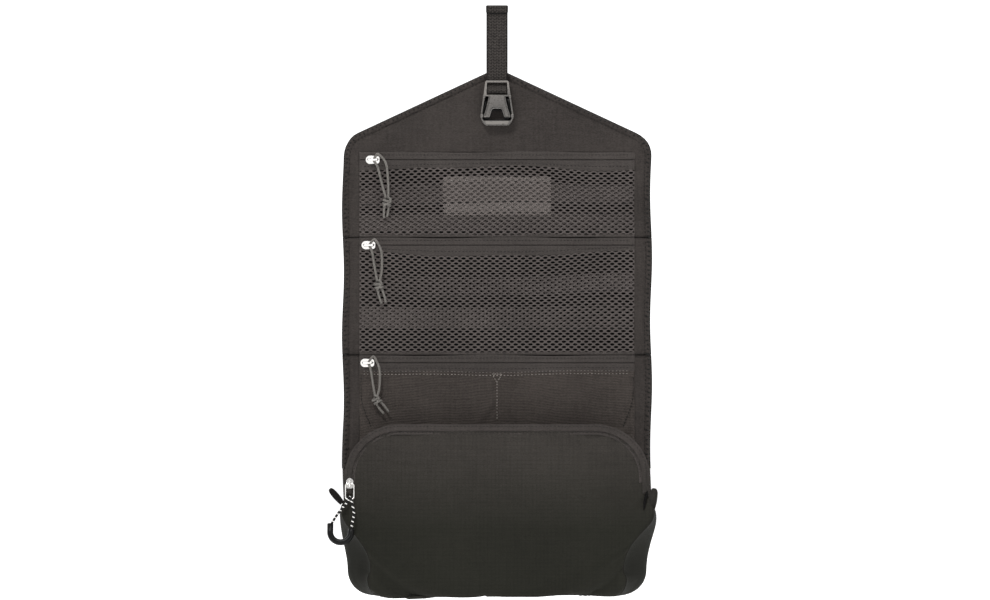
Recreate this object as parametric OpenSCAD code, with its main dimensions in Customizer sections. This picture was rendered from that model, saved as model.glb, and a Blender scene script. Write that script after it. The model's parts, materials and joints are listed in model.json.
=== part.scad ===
// Hanging toiletry bag: a folding panel with two mesh pockets and one fabric pocket, a zipped wash pouch
// at its foot, and a webbing strap with an adjustable hook at its head.
// X runs across the bag, -Y is its front, +Z is up. The origin is the centre of the strap's loop, which is
// the line of the rail or peg that the bag hangs from. All sizes are in millimetres.

/* [Strap] */
// Width of the webbing
webbing_w = 20; // [16:1:24]
// Thickness of the webbing
webbing_t = 1.2; // [1:0.1:1.4]
// Clear gap inside the loop
loop_gap = 10; // [9:1:12]
// Drop from the hanging line to the tip of the flap
strap_drop = 57; // [50:1:75]

/* [Panel] */
// Width of the folding panel
panel_w = 290; // [270:5:320]
// Height of the flap from its tip to the first pocket
flap_h = 74.5; // [72:0.5:90]
// Slope of the flap's shoulders from the horizontal
flap_slope = 25; // [18:1:28]
// Radius of the shoulders
shoulder_r = 24; // [12:1:30]
// Height of the first mesh pocket
pocket_1_h = 80.5; // [76:0.5:100]
// Height of the second mesh pocket
pocket_2_h = 111; // [100:1:125]
// Height of the fabric pocket above the pouch
pocket_3_h = 66; // [60:1:80]
// Width of the plain border on each side of the pockets
border_w = 15; // [12:1:22]

/* [Pouch] */
// Height of the pouch
pouch_h = 158.5; // [140:0.5:180]
// Width of the pouch
pouch_w = 294; // [280:2:310]
// Depth of the pouch at its widest
pouch_d = 70; // [55:1:72]
// Depth of the pouch at its top edge
pouch_top_d = 40; // [35:1:48]
// Height of the opening door, measured upright
door_h = 61; // [56:1:70]

/* [Fabric layers] */
// Thickness of the outer shell fabric
shell_t = 0.8; // [0.6:0.1:1]
// Thickness of the foam padding
foam_t = 1.4; // [1:0.1:2]
// Thickness of the lining
lining_t = 0.6; // [0.4:0.1:0.8]

/* [Zips] */
// Gap between the two coils, which the slider's post runs in
coil_gap = 0.7; // [0.6:0.1:1]
// Drop from a pocket's upper seam to its zip line
zip_drop = 7.5; // [7:0.5:9]
// Place of the first pocket's slider, measured from the middle of the bag
slider_x = -117; // [-120:1:-100]

/* [Hidden] */
$fn = 48;

// Colours
charcoal = [0.27, 0.25, 0.24];
pouch_grey = [0.2, 0.2, 0.18];
mesh_grey = [0.34, 0.32, 0.31];
thread_grey = [0.42, 0.4, 0.38];
cord_grey = [0.5, 0.48, 0.46];
plastic_grey = [0.45, 0.43, 0.42];
steel = [0.8, 0.8, 0.79];
black = [0.1, 0.1, 0.1];
foam_white = [0.9, 0.9, 0.87];

// Depths. front_y is the lining's face; "proud" is the distance in front of it.
panel_t = shell_t + foam_t + lining_t;
back_y = loop_gap / 2;
front_y = back_y - panel_t;
facing_proud = 3.1;
tape_t = 0.5;
gap = 0.1;

// Heights
tip_z = -strap_drop - 0.5;
pocket_1_z = tip_z - flap_h;
seam_1_z = pocket_1_z - pocket_1_h;
seam_2_z = seam_1_z - pocket_2_h;
pouch_z = seam_2_z - pocket_3_h;
base_z = pouch_z - pouch_h;
hinge_z = pouch_z - door_h;
fold_gap = 0.4;

// Panel outline
half_w = panel_w / 2;
tip_half = 9;
pocket_half = half_w - border_w;

// Strap and hook
half_t = webbing_t / 2;
run_y = loop_gap / 2 + half_t;
flex_gap = 0.8;
bar_r = 1.2;
bar_y = -7.75;
turn_r = bar_r + 0.25 + half_t;
hook_top_z = -strap_drop - 8;
hook_h = 42.4;
bar_z = hook_top_z - 9.4;
swing_z = hook_top_z + 3.5;
swing_gap = 1.8;
run_in_y = -3.9;
tail_in_y = -5.3;
hook_t = 3.2;

// Zips
slider_l = 10;
slider_w = 7.5;
plate_t = 0.8;
coil_w = 1.4;
zip_z = [pocket_1_z - zip_drop, seam_1_z - zip_drop, seam_2_z - zip_drop];
zip_half = pocket_half - 2;
slider_at = [slider_x, slider_x - 4, slider_x - 5];
cord_t = 1.8;

// Pouch
pouch_half = pouch_w / 2;
wall_t = 1.4;
front_t = 2;
hinge_proud = pouch_d - 8;
door_tilt = atan((hinge_proud - pouch_top_d) / door_h);
arch_r = 49.3;
arch_x = 91;
arch_v = door_h / cos(door_tilt) - arch_r;
corner_r = 24;
foot_half = pouch_half - 7.5;
flare_h = 22;
zip_inset = 2.5;
main_slider_angle = 189.6;

// ---------- helpers ----------

// A plate between two values of Y, drawn as seen from the front
module plate_y(y0, y1) {
    translate([0, y1, 0]) rotate([90, 0, 0]) linear_extrude(y1 - y0) children();
}

// A plate in front of the lining, between two heights above it
module proud(p0, p1) {
    plate_y(front_y - p1, front_y - p0) children();
}

// A rectangle from one corner to the other
module box_2d(x0, z0, x1, z1) {
    translate([x0, z0]) square([x1 - x0, z1 - z0]);
}

// A side profile in Y and Z, extruded across X about the middle
module across(w) {
    rotate([90, 0, 90]) linear_extrude(w, center = true) children();
}

function unit(v) = v / norm(v);
function reversed(list) = [for (i = [len(list) - 1:-1:0]) list[i]];
function mirrored(list) = [for (p = reversed(list)) [-p.x, p.y]];
function side_of(a, b) = [-unit(b - a).y, unit(b - a).x];

// The points at distance d to the left of a path, mitred at its corners
function beside(path, d) = [for (i = [0:len(path) - 1])
    let (n0 = side_of(path[max(i - 1, 0)], path[max(i, 1)]),
         n1 = side_of(path[min(i, len(path) - 2)], path[min(i + 1, len(path) - 1)]),
         m = unit(n0 + n1))
    path[i] + m * d / (m * n1)];

// A strip of webbing that follows a side path
module ribbon(path, t = webbing_t, w = webbing_w) {
    across(w) polygon(concat(beside(path, t / 2), reversed(beside(path, -t / 2))));
}

function arc(c, r, a0, a1, steps) = [for (i = [0:steps])
    let (a = a0 + (a1 - a0) * i / steps) c + r * [cos(a), sin(a)]];

// ---------- strap and hook ----------

// The long run: up from the back of the flap, over the rail and down the front
module hanging_strap() {
    color(charcoal) ribbon(concat(
        [[run_y, -strap_drop + flex_gap]],
        arc([0, 0], run_y, 0, 180, 16),
        [[run_in_y, swing_z + 8], [run_in_y, swing_z + swing_gap]]));
}

// The free end, which comes back up in front of the long run and ends in a folded stop
module strap_tail() {
    tail_y = -run_y - webbing_t - 0.2;
    fold_r = 0.7;
    color(charcoal) ribbon(concat(
        [[tail_in_y, swing_z + swing_gap], [tail_in_y - 0.1, swing_z + 8], [tail_y, -6]],
        arc([tail_y - fold_r, 3.6], fold_r, 0, 180, 6),
        [[tail_y - 2 * fold_r, -2.5]]));
}

// Two rows of thread across the folded stop
module stop_stitching() {
    stitch_y = -run_y - webbing_t - 0.2 - 1.4 - half_t;
    color(thread_grey) for (z = [0, 2.4])
        translate([-8, stitch_y - 0.3, z - 0.3]) cube([16, 0.3, 0.6]);
}

// The end of the loop that goes round the hook's bar
module strap_turn() {
    color(charcoal) ribbon(concat(
        [[run_in_y, swing_z - swing_gap], [run_in_y, bar_z + 4.6], [bar_y + turn_r, bar_z + 1]],
        arc([bar_y, bar_z], turn_r, 0, -180, 10),
        [[bar_y - turn_r, bar_z + 0.9], [tail_in_y, bar_z + 5.6], [tail_in_y, swing_z - swing_gap]]));
}

hook_half_top = webbing_w / 2 + 1.8;
hook_half_wide = 15.8;
hook_half_foot = 10.4;
rail_w = 1.5;

module hook_outline(inset) {
    polygon(concat(
        [[hook_half_top - inset, 0], [hook_half_wide - inset, -34], [hook_half_wide - 2 - inset, -39.5]],
        [[hook_half_foot - inset / 2, -hook_h]],
        mirrored([[hook_half_top - inset, 0], [hook_half_wide - inset, -34],
                  [hook_half_wide - 2 - inset, -39.5], [hook_half_foot - inset / 2, -hook_h]])));
}

// Moulded frame: top bar, round bar, cross bar, two rails and a foot bar
module hook_frame() {
    color(plastic_grey) translate([0, bar_y, hook_top_z]) {
        plate_y(-hook_t / 2, hook_t / 2) difference() {
            hook_outline(0);
            intersection() {
                hook_outline(rail_w);
                union() {
                    box_2d(-20, -13.6, 20, -2.8);
                    box_2d(-20, -38, 20, -15.4);
                }
            }
        }
        translate([0, 0, bar_z - hook_top_z]) rotate([0, 90, 0])
            cylinder(r = bar_r, h = 2 * hook_half_top - rail_w, center = true);
    }
}

// Springing plate that closes the hook, with an arched notch at its foot
module hook_gate() {
    gate_h = 21;
    color(plastic_grey) translate([0, bar_y, hook_top_z - 16])
        plate_y(-hook_t / 2 + 0.4, hook_t / 2 - 0.6) difference() {
            polygon([[7.6, 0], [11.6, -gate_h], [-11.6, -gate_h], [-7.6, 0]]);
            translate([0, -gate_h]) circle(r = 5);
        }
}

// ---------- folding panel ----------

// The flap and first pocket, seen from the front
module upper_outline(inset, foot_z) {
    cx = half_w - shoulder_r;
    cz = tip_z - (cx - tip_half) * tan(flap_slope) - shoulder_r / cos(flap_slope);
    right = concat(
        [[tip_half + inset * (1 - 1 / cos(flap_slope)) / tan(flap_slope), tip_z - inset]],
        arc([cx, cz], shoulder_r - inset, 90 - flap_slope, 0, 6),
        [[half_w - inset, foot_z]]);
    polygon(concat(right, mirrored(right)));
}

// Shell, foam and lining of one zone; children draw its outline
module shell_layer() { color(charcoal) plate_y(back_y - shell_t, back_y) children(); }
module foam_layer() {
    color(foam_white) plate_y(front_y + lining_t + 0.02, back_y - shell_t - 0.02) children();
}
module lining_layer() { color(charcoal) plate_y(front_y, front_y + lining_t) children(); }

module upper_shell() { shell_layer() upper_outline(0, seam_1_z + fold_gap); }
module upper_foam() { foam_layer() upper_outline(2, seam_1_z + 2); }
module upper_lining() { lining_layer() upper_outline(0, seam_1_z + fold_gap); }

// Padded front of the flap with the two side borders
module upper_facing() {
    color(charcoal) proud(gap, facing_proud) difference() {
        upper_outline(0, seam_1_z + fold_gap);
        box_2d(-pocket_half, seam_1_z - 1, pocket_half, pocket_1_z);
    }
}

module zone_2d(inset, top_z, foot_z) {
    box_2d(-half_w + inset, foot_z + inset, half_w - inset, top_z - inset);
}

module middle_outline(inset) { zone_2d(inset, seam_1_z - fold_gap, seam_2_z + fold_gap); }
module middle_shell() { shell_layer() middle_outline(0); }
module middle_foam() { foam_layer() middle_outline(2); }
module middle_lining() { lining_layer() middle_outline(0); }

// The two padded side borders of a zone, one on each side of its pocket
module borders(top_z, foot_z) {
    color(charcoal) proud(gap, facing_proud) {
        box_2d(pocket_half, foot_z, half_w, top_z);
        box_2d(-half_w, foot_z, -pocket_half, top_z);
    }
}

module middle_facing() { borders(seam_1_z - fold_gap, seam_2_z + fold_gap); }

// Back of the lowest zone, which is also the back of the pouch
module lower_outline(inset) {
    r = corner_r - inset;
    right = concat(
        [[half_w - inset, seam_2_z - fold_gap - inset], [half_w - inset, hinge_z - flare_h]],
        arc([foot_half - 1.5 - corner_r, base_z + corner_r], r, 0, -90, 8));
    polygon(concat(right, mirrored(right)));
}

module lower_shell() { shell_layer() lower_outline(0); }
module lower_foam() { foam_layer() lower_outline(2); }
module lower_lining() { lining_layer() lower_outline(0); }
module lower_facing() { borders(seam_2_z - fold_gap, pouch_z + 1); }

// Sewn end of the strap on the back of the flap
module strap_anchor() {
    color(charcoal) translate([-webbing_w / 2, back_y + 0.02, -strap_drop - 28])
        cube([webbing_w, webbing_t, 28 - flex_gap]);
}

// Box stitch on the strap's sewn end
module anchor_stitching() {
    box_h = 16;
    box_w = 14;
    y0 = back_y + 0.02 + webbing_t;
    color(thread_grey) plate_y(y0, y0 + 0.4) translate([0, -strap_drop - 17]) difference() {
        square([box_w, box_h], center = true);
        square([box_w - 1.6, box_h - 1.6], center = true);
    }
}

// Loop of webbing on the back of the flap, which the hook clips to
module keeper_loop() {
    stand_off = 5;
    loop_h = 22;
    top = -strap_drop - 36;
    y0 = back_y + 0.02 + half_t;
    color(charcoal) ribbon([[y0, top], [y0, top - 5], [y0 + stand_off, top - 9],
        [y0 + stand_off, top - loop_h + 4], [y0, top - loop_h], [y0, top - loop_h - 5]]);
}

// ---------- pockets ----------

tape_proud = facing_proud - tape_t;

// The two woven tapes of a pocket zip
module zip_tape(n) {
    upper_h = zip_drop - coil_gap / 2 - (n == 0 ? gap : fold_gap);
    color(charcoal) proud(tape_proud, facing_proud) translate([0, zip_z[n]]) {
        box_2d(-pocket_half + gap, coil_gap / 2, pocket_half - gap, coil_gap / 2 + upper_h);
        box_2d(-pocket_half + gap, -zip_drop, pocket_half - gap, -coil_gap / 2);
    }
}

// The two rows of coil behind the tapes
module zip_coil(n) {
    color(black) proud(tape_proud - 1.1, tape_proud - 0.02) translate([0, zip_z[n]]) {
        box_2d(-zip_half, coil_gap / 2, zip_half, coil_gap / 2 + coil_w);
        box_2d(-zip_half, -coil_gap / 2 - coil_w, zip_half, -coil_gap / 2);
    }
}

// Front of a pocket with the hem that closes its foot
module pocket_front(n, foot_z) {
    hem_h = 4;
    top_z = zip_z[n] - zip_drop - gap;
    proud(tape_proud, facing_proud)
        box_2d(-pocket_half + gap, foot_z, pocket_half - gap, top_z);
    proud(gap, tape_proud)
        box_2d(-pocket_half + gap, foot_z, pocket_half - gap, foot_z + hem_h);
}

module mesh_pocket_1() { color(mesh_grey) pocket_front(0, seam_1_z + fold_gap); }
module mesh_pocket_2() { color(mesh_grey) pocket_front(1, seam_2_z + fold_gap); }
module pocket_3_front() { color(charcoal) pocket_front(2, pouch_z + 1); }

// Bands of doubled mesh behind a pocket front, given by their drops below its upper seam
strip_h = 16;
module mesh_strips(top_z, drops) {
    color(mesh_grey) proud(1.6, 2.1) for (d = drops)
        box_2d(-pocket_half + 1, top_z - d - strip_h, pocket_half - 1, top_z - d);
}
module mesh_strips_1() { mesh_strips(pocket_1_z, [30, 56]); }
module mesh_strips_2() { mesh_strips(seam_1_z, [36, 66]); }

// Blank label on the lining behind the first pocket
module label_patch() {
    color(thread_grey) proud(gap, 0.7) translate([0, pocket_1_z - 41.5]) square([102, 37], center = true);
}

// Line of stitches that divides the fabric pocket in two
module divider_seam() {
    color(thread_grey) proud(facing_proud + 0.02, facing_proud + 0.4)
        box_2d(-0.5, pouch_z + 4, 0.5, zip_z[2] - zip_drop - 3);
}

// ---------- pocket sliders and their cords ----------

bridge_proud = 7;

module slider_body(l, w) {
    // lower plate, post, upper plate
    proud(0.5, 1.3) square([l - 1, w - 0.5], center = true);
    proud(1.3, facing_proud + 0.2) square([3, coil_gap - 0.2], center = true);
    proud(facing_proud + 0.2, facing_proud + 0.2 + plate_t) square([l, w], center = true);
}

module zip_slider(n) {
    leg_x = 3.4;
    pin_r = 0.7;
    top_plate = facing_proud + 0.2 + plate_t;
    color(steel) translate([slider_at[n], 0, zip_z[n]]) {
        slider_body(slider_l, slider_w);
        for (x = [-leg_x, leg_x])
            proud(top_plate - 0.1, bridge_proud + 0.9) translate([x, 0]) square([1.2, 2.4], center = true);
        translate([0, front_y - bridge_proud, 0]) rotate([0, 90, 0])
            cylinder(r = pin_r, h = 2 * leg_x, center = true);
    }
}

// Doubled cord through the slider's bridge, with a knot and two tails
module pull_cord(n) {
    eye_r = 0.8;
    knot_z = -36;
    knot_h = 9;
    tail_h = 11;
    cord_w = 2 * cord_t;
    color(cord_grey) translate([slider_at[n], front_y - bridge_proud, zip_z[n]]) {
        rotate([0, 90, 0]) difference() {
            cylinder(r = eye_r + cord_t, h = cord_w, center = true);
            cylinder(r = eye_r, h = cord_w + 1, center = true);
        }
        translate([-cord_w / 2, -cord_t / 2, knot_z]) cube([cord_w, cord_t, -knot_z - eye_r - 0.4]);
        translate([-4, -3, knot_z - knot_h]) cube([8, 6, knot_h]);
        for (side = [-1, 1]) translate([side * 2.2, 0, knot_z - knot_h - tail_h])
            cylinder(d = cord_t, h = tail_h + 1);
    }
}

// ---------- pouch ----------

// The pouch seen from the front, drawn in by an inset
function arch_point(a, inset) = [arch_x, arch_v] + (arch_r - inset) * [cos(a), sin(a)];
function pouch_side(inset) = concat(
    [for (a = [90:-9:0]) let (p = arch_point(a, inset)) [p.x, hinge_z + p.y * cos(door_tilt)]],
    [[pouch_half - inset, hinge_z - flare_h]],
    arc([foot_half - corner_r, base_z + corner_r], corner_r - inset, 0, -90, 8));
module pouch_outline(inset) {
    polygon(concat(pouch_side(inset), mirrored(pouch_side(inset))));
}

// The pouch's front surface seen from the side: [distance in front of the lining, height]
function front_profile(inset) = [
    [pouch_top_d - inset - 0.36 * 5, pouch_z + 5], [hinge_proud - inset, hinge_z],
    [pouch_d - inset, hinge_z - 40], [pouch_d - inset, base_z + 22], [pouch_d - 6 - inset, base_z]];

// The space from one distance in front of the lining to the pouch's front surface
module pouch_space(start, inset) {
    line = front_profile(inset);
    across(pouch_w + 2) polygon([for (p = concat([[start, pouch_z + 5]], line, [[start, base_z]]))
        [front_y - p.x, p.y]]);
}

module pouch_wall(outer, inner) {
    plate_y(front_y - pouch_d - 1, front_y) difference() {
        pouch_outline(outer);
        pouch_outline(inner);
    }
}

// Side, top and foot of the pouch as one band of fabric
module pouch_gusset() {
    color(pouch_grey) intersection() {
        pouch_wall(0, wall_t);
        pouch_space(gap, front_t + gap);
    }
}

// Thin waterproof lining inside the gusset
module pouch_lining() {
    color(thread_grey) intersection() {
        pouch_wall(wall_t + gap, wall_t + gap + 0.4);
        pouch_space(gap, front_t + 1);
    }
}

// Fixed lower front
module pouch_front() {
    hinge_gap = 0.5;
    color(pouch_grey) intersection() {
        difference() {
            pouch_space(gap, 0);
            pouch_space(-1, front_t);
        }
        plate_y(front_y - pouch_d - 1, front_y) intersection() {
            pouch_outline(0);
            box_2d(-pouch_w, base_z - 1, pouch_w, hinge_z - hinge_gap);
        }
    }
}

// The door's own frame: its lower edge is the fold, +Z runs up its slope and -Y points out
module in_door_frame() {
    translate([0, front_y - hinge_proud, hinge_z]) rotate([-door_tilt, 0, 0]) children();
}

function arch_side(inset, low) = concat(
    [for (a = [90:-5:0]) arch_point(a, inset)], [[arch_x + arch_r - inset, low]]);
module arch_2d(inset, low) {
    polygon(concat(arch_side(inset, low), mirrored(arch_side(inset, low))));
}
module arch_band_2d(outer, inner, low) {
    polygon(concat(arch_side(outer, low), reversed(arch_side(inner, low))));
    mirror([1, 0]) polygon(concat(arch_side(outer, low), reversed(arch_side(inner, low))));
    top_v = arch_v + arch_r;
    box_2d(-arch_x, top_v - inner, arch_x, top_v - outer);
}

main_tape_t = 0.6;
main_coil_back = 1.45;
main_post_w = 0.36;
main_post_l = 1;
door_edge = 8;

// Zip tape on the gusset side, and its coil
module outer_zip_tape() {
    color(charcoal) in_door_frame() plate_y(0, main_tape_t)
        arch_band_2d(0, zip_inset - coil_gap / 2, 0.6);
}
module outer_zip_coil() {
    color(black) in_door_frame() plate_y(main_tape_t + 0.02, main_coil_back)
        arch_band_2d(zip_inset - coil_gap / 2 - coil_w, zip_inset - coil_gap / 2, 0.6);
}

// Zip tape on the door side, and its coil; both begin above the slider's resting place
module inner_zip_tape() {
    color(charcoal) in_door_frame() plate_y(0, main_tape_t)
        arch_band_2d(zip_inset + coil_gap / 2, door_edge - gap, arch_v);
}
module inner_zip_coil() {
    color(black) in_door_frame() plate_y(main_tape_t + 0.02, main_coil_back)
        arch_band_2d(zip_inset + coil_gap / 2, zip_inset + coil_gap / 2 + coil_w, arch_v);
}

// Door that folds forward and down
module pouch_door() {
    color(pouch_grey) in_door_frame() plate_y(0, front_t) arch_2d(door_edge, 0.5);
}

// Fabric tab at an end of the main zip, which leans out from the side of the pouch
module end_tab(w, l, lean, drop) {
    flare_top = arch_v * cos(door_tilt);
    flare_w = pouch_half - arch_x - arch_r;
    side_x = arch_x + arch_r + flare_w * (drop + flare_top) / (flare_h + flare_top) + 0.2;
    color(charcoal) translate([side_x, front_y - hinge_proud + 7, hinge_z - drop])
        rotate([0, lean, 0]) cube([w, 1.6, l]);
}
module tab_left() { mirror([1, 0, 0]) end_tab(5, 18, 45, 10); }
module tab_right() { end_tab(8, 20, 20, 16); }

// ---------- main zip's slider and pull ----------

// Moves children to the slider's place on the zip's arc, in the door's frame
module at_main_slider() {
    in_door_frame() translate([-arch_x, 0, arch_v])
        translate((arch_r - zip_inset) * [cos(main_slider_angle), 0, sin(main_slider_angle)]) children();
}

wire_r = 0.7;
bail_out = 2.15;

module main_zip_slider() {
    color(steel) at_main_slider() {
        plate_y(1.5, 1.9) square([6, 9], center = true);
        plate_y(-0.1, 1.5) square([main_post_w, main_post_l], center = true);
        plate_y(-0.9, -0.1) square([slider_w, slider_l], center = true);
        // bridge that holds the bail
        for (z = [-2.6, 2.6]) translate([0, 0, z]) plate_y(-3.4, -0.8) square([2.4, 1.2], center = true);
        plate_y(-4.2, -3.4) square([2.4, 6.4], center = true);
    }
}

pull_lean = 18;

// The pull's frame: its origin is the bail's upper wire, and -Z runs down the pull
module in_pull_frame() {
    c = (arch_r - zip_inset) * [cos(main_slider_angle), 0, sin(main_slider_angle)];
    at = [c.x - arch_x, -bail_out, c.z + arch_v];
    translate([at.x,
        front_y - hinge_proud + at.y * cos(door_tilt) + at.z * sin(door_tilt),
        hinge_z - at.y * sin(door_tilt) + at.z * cos(door_tilt)])
        rotate([-pull_lean, 0, 0]) children();
}

bail_w = 8.8;
bail_l = 15;
tube_r = 2.4;
tube_ring_r = 10;
tube_x = -8;
tube_z = -bail_l - 30;

// Rectangular wire bail
module pull_bail() {
    color(steel) in_pull_frame() {
        for (z = [0, -bail_l]) translate([0, 0, z]) rotate([0, 90, 0])
            cylinder(r = wire_r, h = bail_w, center = true);
        for (x = [-1, 1]) translate([x * (bail_w / 2 - wire_r), 0, -bail_l])
            cylinder(r = wire_r, h = bail_l);
    }
}

// A straight length of cord between two points of the pull's plane
module strand(a, b, r) {
    d = b - a;
    translate([a.x, 0, a.y]) rotate([0, atan2(d.x, d.y), 0]) cylinder(r = r, h = norm(d));
}

// The two strands between the bail and the tube
module main_pull_cord() {
    cord_r = 1.1;
    foot = -bail_l - wire_r - 0.1;
    color(black) in_pull_frame() for (side = [-1, 1])
        strand([side * 2, foot - 0.6], [tube_x + side * tube_ring_r, tube_z + 0.7], cord_r);
}

// Curved grip tube
module main_pull_tube() {
    color(black) in_pull_frame() translate([tube_x, 0, tube_z]) rotate([90, 0, 0])
        rotate([0, 0, 180]) rotate_extrude(angle = 180) translate([tube_ring_r, 0]) circle(r = tube_r);
}

// ---------- assembly ----------

hanging_strap();
strap_tail();
stop_stitching();
hook_frame();
strap_turn();
hook_gate();
upper_shell();
upper_foam();
upper_lining();
upper_facing();
strap_anchor();
anchor_stitching();
keeper_loop();
zip_tape(0);  // zip_tape_1
zip_coil(0);  // zip_coil_1
mesh_pocket_1();
mesh_strips_1();
label_patch();
zip_slider(0);  // zip_slider_1
pull_cord(0);  // pull_cord_1
middle_shell();
middle_foam();
middle_lining();
middle_facing();
zip_tape(1);  // zip_tape_2
zip_coil(1);  // zip_coil_2
mesh_pocket_2();
mesh_strips_2();
zip_slider(1);  // zip_slider_2
pull_cord(1);  // pull_cord_2
lower_shell();
lower_foam();
lower_lining();
lower_facing();
zip_tape(2);  // zip_tape_3
zip_coil(2);  // zip_coil_3
pocket_3_front();
divider_seam();
zip_slider(2);  // zip_slider_3
pull_cord(2);  // pull_cord_3
pouch_front();
pouch_gusset();
pouch_lining();
outer_zip_tape();
outer_zip_coil();
tab_left();
tab_right();
pouch_door();
inner_zip_tape();
inner_zip_coil();
main_zip_slider();
pull_bail();
main_pull_cord();
main_pull_tube();
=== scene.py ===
"""Hanging toiletry bag: the looks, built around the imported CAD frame. Lengths below are in millimetres."""
import json
import math

import bmesh
import bpy
import numpy as np
from numpy import array, clip, cos, interp, meshgrid, minimum, pi, sin, sqrt, stack
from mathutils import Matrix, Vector


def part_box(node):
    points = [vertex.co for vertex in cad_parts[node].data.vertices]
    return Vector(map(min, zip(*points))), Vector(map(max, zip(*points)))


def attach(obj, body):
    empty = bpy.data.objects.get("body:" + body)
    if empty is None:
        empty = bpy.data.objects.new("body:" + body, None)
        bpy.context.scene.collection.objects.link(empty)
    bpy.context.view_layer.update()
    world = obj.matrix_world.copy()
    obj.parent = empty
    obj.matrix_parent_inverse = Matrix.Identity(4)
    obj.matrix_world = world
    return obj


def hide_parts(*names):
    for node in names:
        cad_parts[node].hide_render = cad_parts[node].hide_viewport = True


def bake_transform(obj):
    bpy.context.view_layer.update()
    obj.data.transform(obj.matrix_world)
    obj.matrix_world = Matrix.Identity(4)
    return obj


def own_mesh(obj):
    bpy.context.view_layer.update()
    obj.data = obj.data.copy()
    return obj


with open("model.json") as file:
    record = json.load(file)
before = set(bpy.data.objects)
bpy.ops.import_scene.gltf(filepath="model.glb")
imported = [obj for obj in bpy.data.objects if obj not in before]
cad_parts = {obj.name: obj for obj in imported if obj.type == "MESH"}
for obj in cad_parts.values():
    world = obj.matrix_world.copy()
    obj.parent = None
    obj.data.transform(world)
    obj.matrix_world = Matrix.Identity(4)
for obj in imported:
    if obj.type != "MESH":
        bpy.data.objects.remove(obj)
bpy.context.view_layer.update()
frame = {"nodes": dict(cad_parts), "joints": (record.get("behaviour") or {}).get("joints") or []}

MM = 0.001
TAU = 2 * pi
span = np.linspace
joined = np.concatenate


# ---------- places taken from the frame ----------

def cad(node):
    """Lowest and highest corner of a CAD node, in millimetres."""
    low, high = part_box(node)
    return array(low) / MM, array(high) / MM


def joint(name):
    """Place and axis of a joint of the frame, in millimetres."""
    found = [j for j in frame["joints"] if j["name"] == name][0]
    return array(found.get("pos_m", (0, 0, 0))) / MM, array(found["axis"], float)


def cad_outline(node):
    """Heights and half widths along the right side of a flat CAD plate, from its foot up."""
    corners = {(round(v.co.z / MM, 3), round(v.co.x / MM, 3)) for v in frame["nodes"][node].data.vertices}
    return array(sorted((z, x) for z, x in corners if x > 0.1)).T


half_w, back_y, tip_z = cad("upper_shell")[1]
lining_y = cad("upper_lining")[0][1]
facing_y = cad("upper_facing")[0][1]
upper_foot = cad("upper_shell")[0][2]
middle_ends = (cad("middle_shell")[0][2], cad("middle_shell")[1][2])
lower_top = cad("lower_shell")[1][2]
seam_1 = (upper_foot + middle_ends[1]) / 2
seam_2 = (middle_ends[0] + lower_top) / 2
pocket_half = cad("mesh_pocket_1")[1][0]
pocket_tops = [cad("zip_tape_1")[1][2], seam_1, seam_2]
pocket_feet = [seam_1, seam_2]
zip_z = [joint(f"pull_{n}_swing")[0][2] for n in (1, 2, 3)]
slider_at = [joint(f"pull_{n}_swing")[0][0] for n in (1, 2, 3)]
tape_y = cad("zip_tape_1")[0][1]
(_, _, base_z), (pouch_half, _, pouch_top) = cad("pouch_gusset")
hinge_at = joint("door_fold")[0]
arch_centre, slope_out = joint("main_zip")
tilt = math.atan2(slope_out[2], -slope_out[1])
half_door = 0.5
hinge_y = hinge_at[1] + half_door * cos(tilt)
hinge_z = hinge_at[2] - half_door * sin(tilt)
arch_x = -arch_centre[0]
arch_v = (arch_centre[2] - hinge_z) / cos(tilt)
arch_r = (pouch_top - hinge_z) / cos(tilt) - arch_v
arch_end = arch_x + arch_r
pull_at = joint("main_pull_swing")[0]
body_names = ["upper_panel", "middle_panel", "pouch"]
half_strap = cad("hanging_strap")[1][0]


# ---------- shape helpers ----------

def at(x, y, z):
    """Points from their coordinates."""
    return stack(np.broadcast_arrays(x, y, z), -1)


def smooth(t):
    """Eased step from 0 to 1."""
    t = clip(t, 0, 1)
    return t * t * (3 - 2 * t)


def dome(d, r):
    """Height of a rounded edge: 0 at the edge, 1 from r inward."""
    t = clip(d / r, 0, 1)
    return sqrt(1 - (1 - t) ** 2)


def bell(d, width):
    """1 where d is 0, fading on both sides over a width."""
    return np.exp(-(d / width) ** 2)


def ripple(u, v, size):
    """Gentle repeatable unevenness between -1 and 1."""
    a, b = u / size, v / size
    first = sin(2.1 * a + 1.3 * sin(1.7 * b))
    second = sin(1.9 * b + 0.8 * sin(2.3 * a + 1))
    return (first + second + sin(1.1 * (a + b) + 0.5)) / 3


def unit(v):
    """Vectors of length 1 in the given directions."""
    return v / np.linalg.norm(v, axis=-1, keepdims=True)


def left_of(path):
    """Directions square to a flat path, on its left."""
    ahead = unit(np.gradient(path, axis=0))
    return stack([-ahead[:, 1], ahead[:, 0]], -1)


def grid_quads(rows, cols):
    """Numbers of a grid's points, and the four-sided faces between them."""
    index = np.arange(rows * cols).reshape(rows, cols)
    return index, stack([index[:-1, :-1], index[:-1, 1:], index[1:, 1:], index[1:, :-1]], -1).reshape(-1, 4)


def closed_sheet(front, back):
    """Points and faces of the solid between two grids of points."""
    index, quads = grid_quads(*front.shape[:2])
    rim = joined([index[0], index[1:, -1], index[-1, -2::-1], index[-2:0:-1, 0]])
    after = np.roll(rim, -1)
    count = index.size
    sides = stack([rim, rim + count, after + count, after], -1)
    verts = joined([front.reshape(-1, 3), back.reshape(-1, 3)])
    return verts, joined([quads, quads[:, ::-1] + count, sides]).tolist()


def slab(front, depth):
    """A sheet of even depth behind a grid of points."""
    return closed_sheet(front, front + (0, depth, 0))


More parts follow.
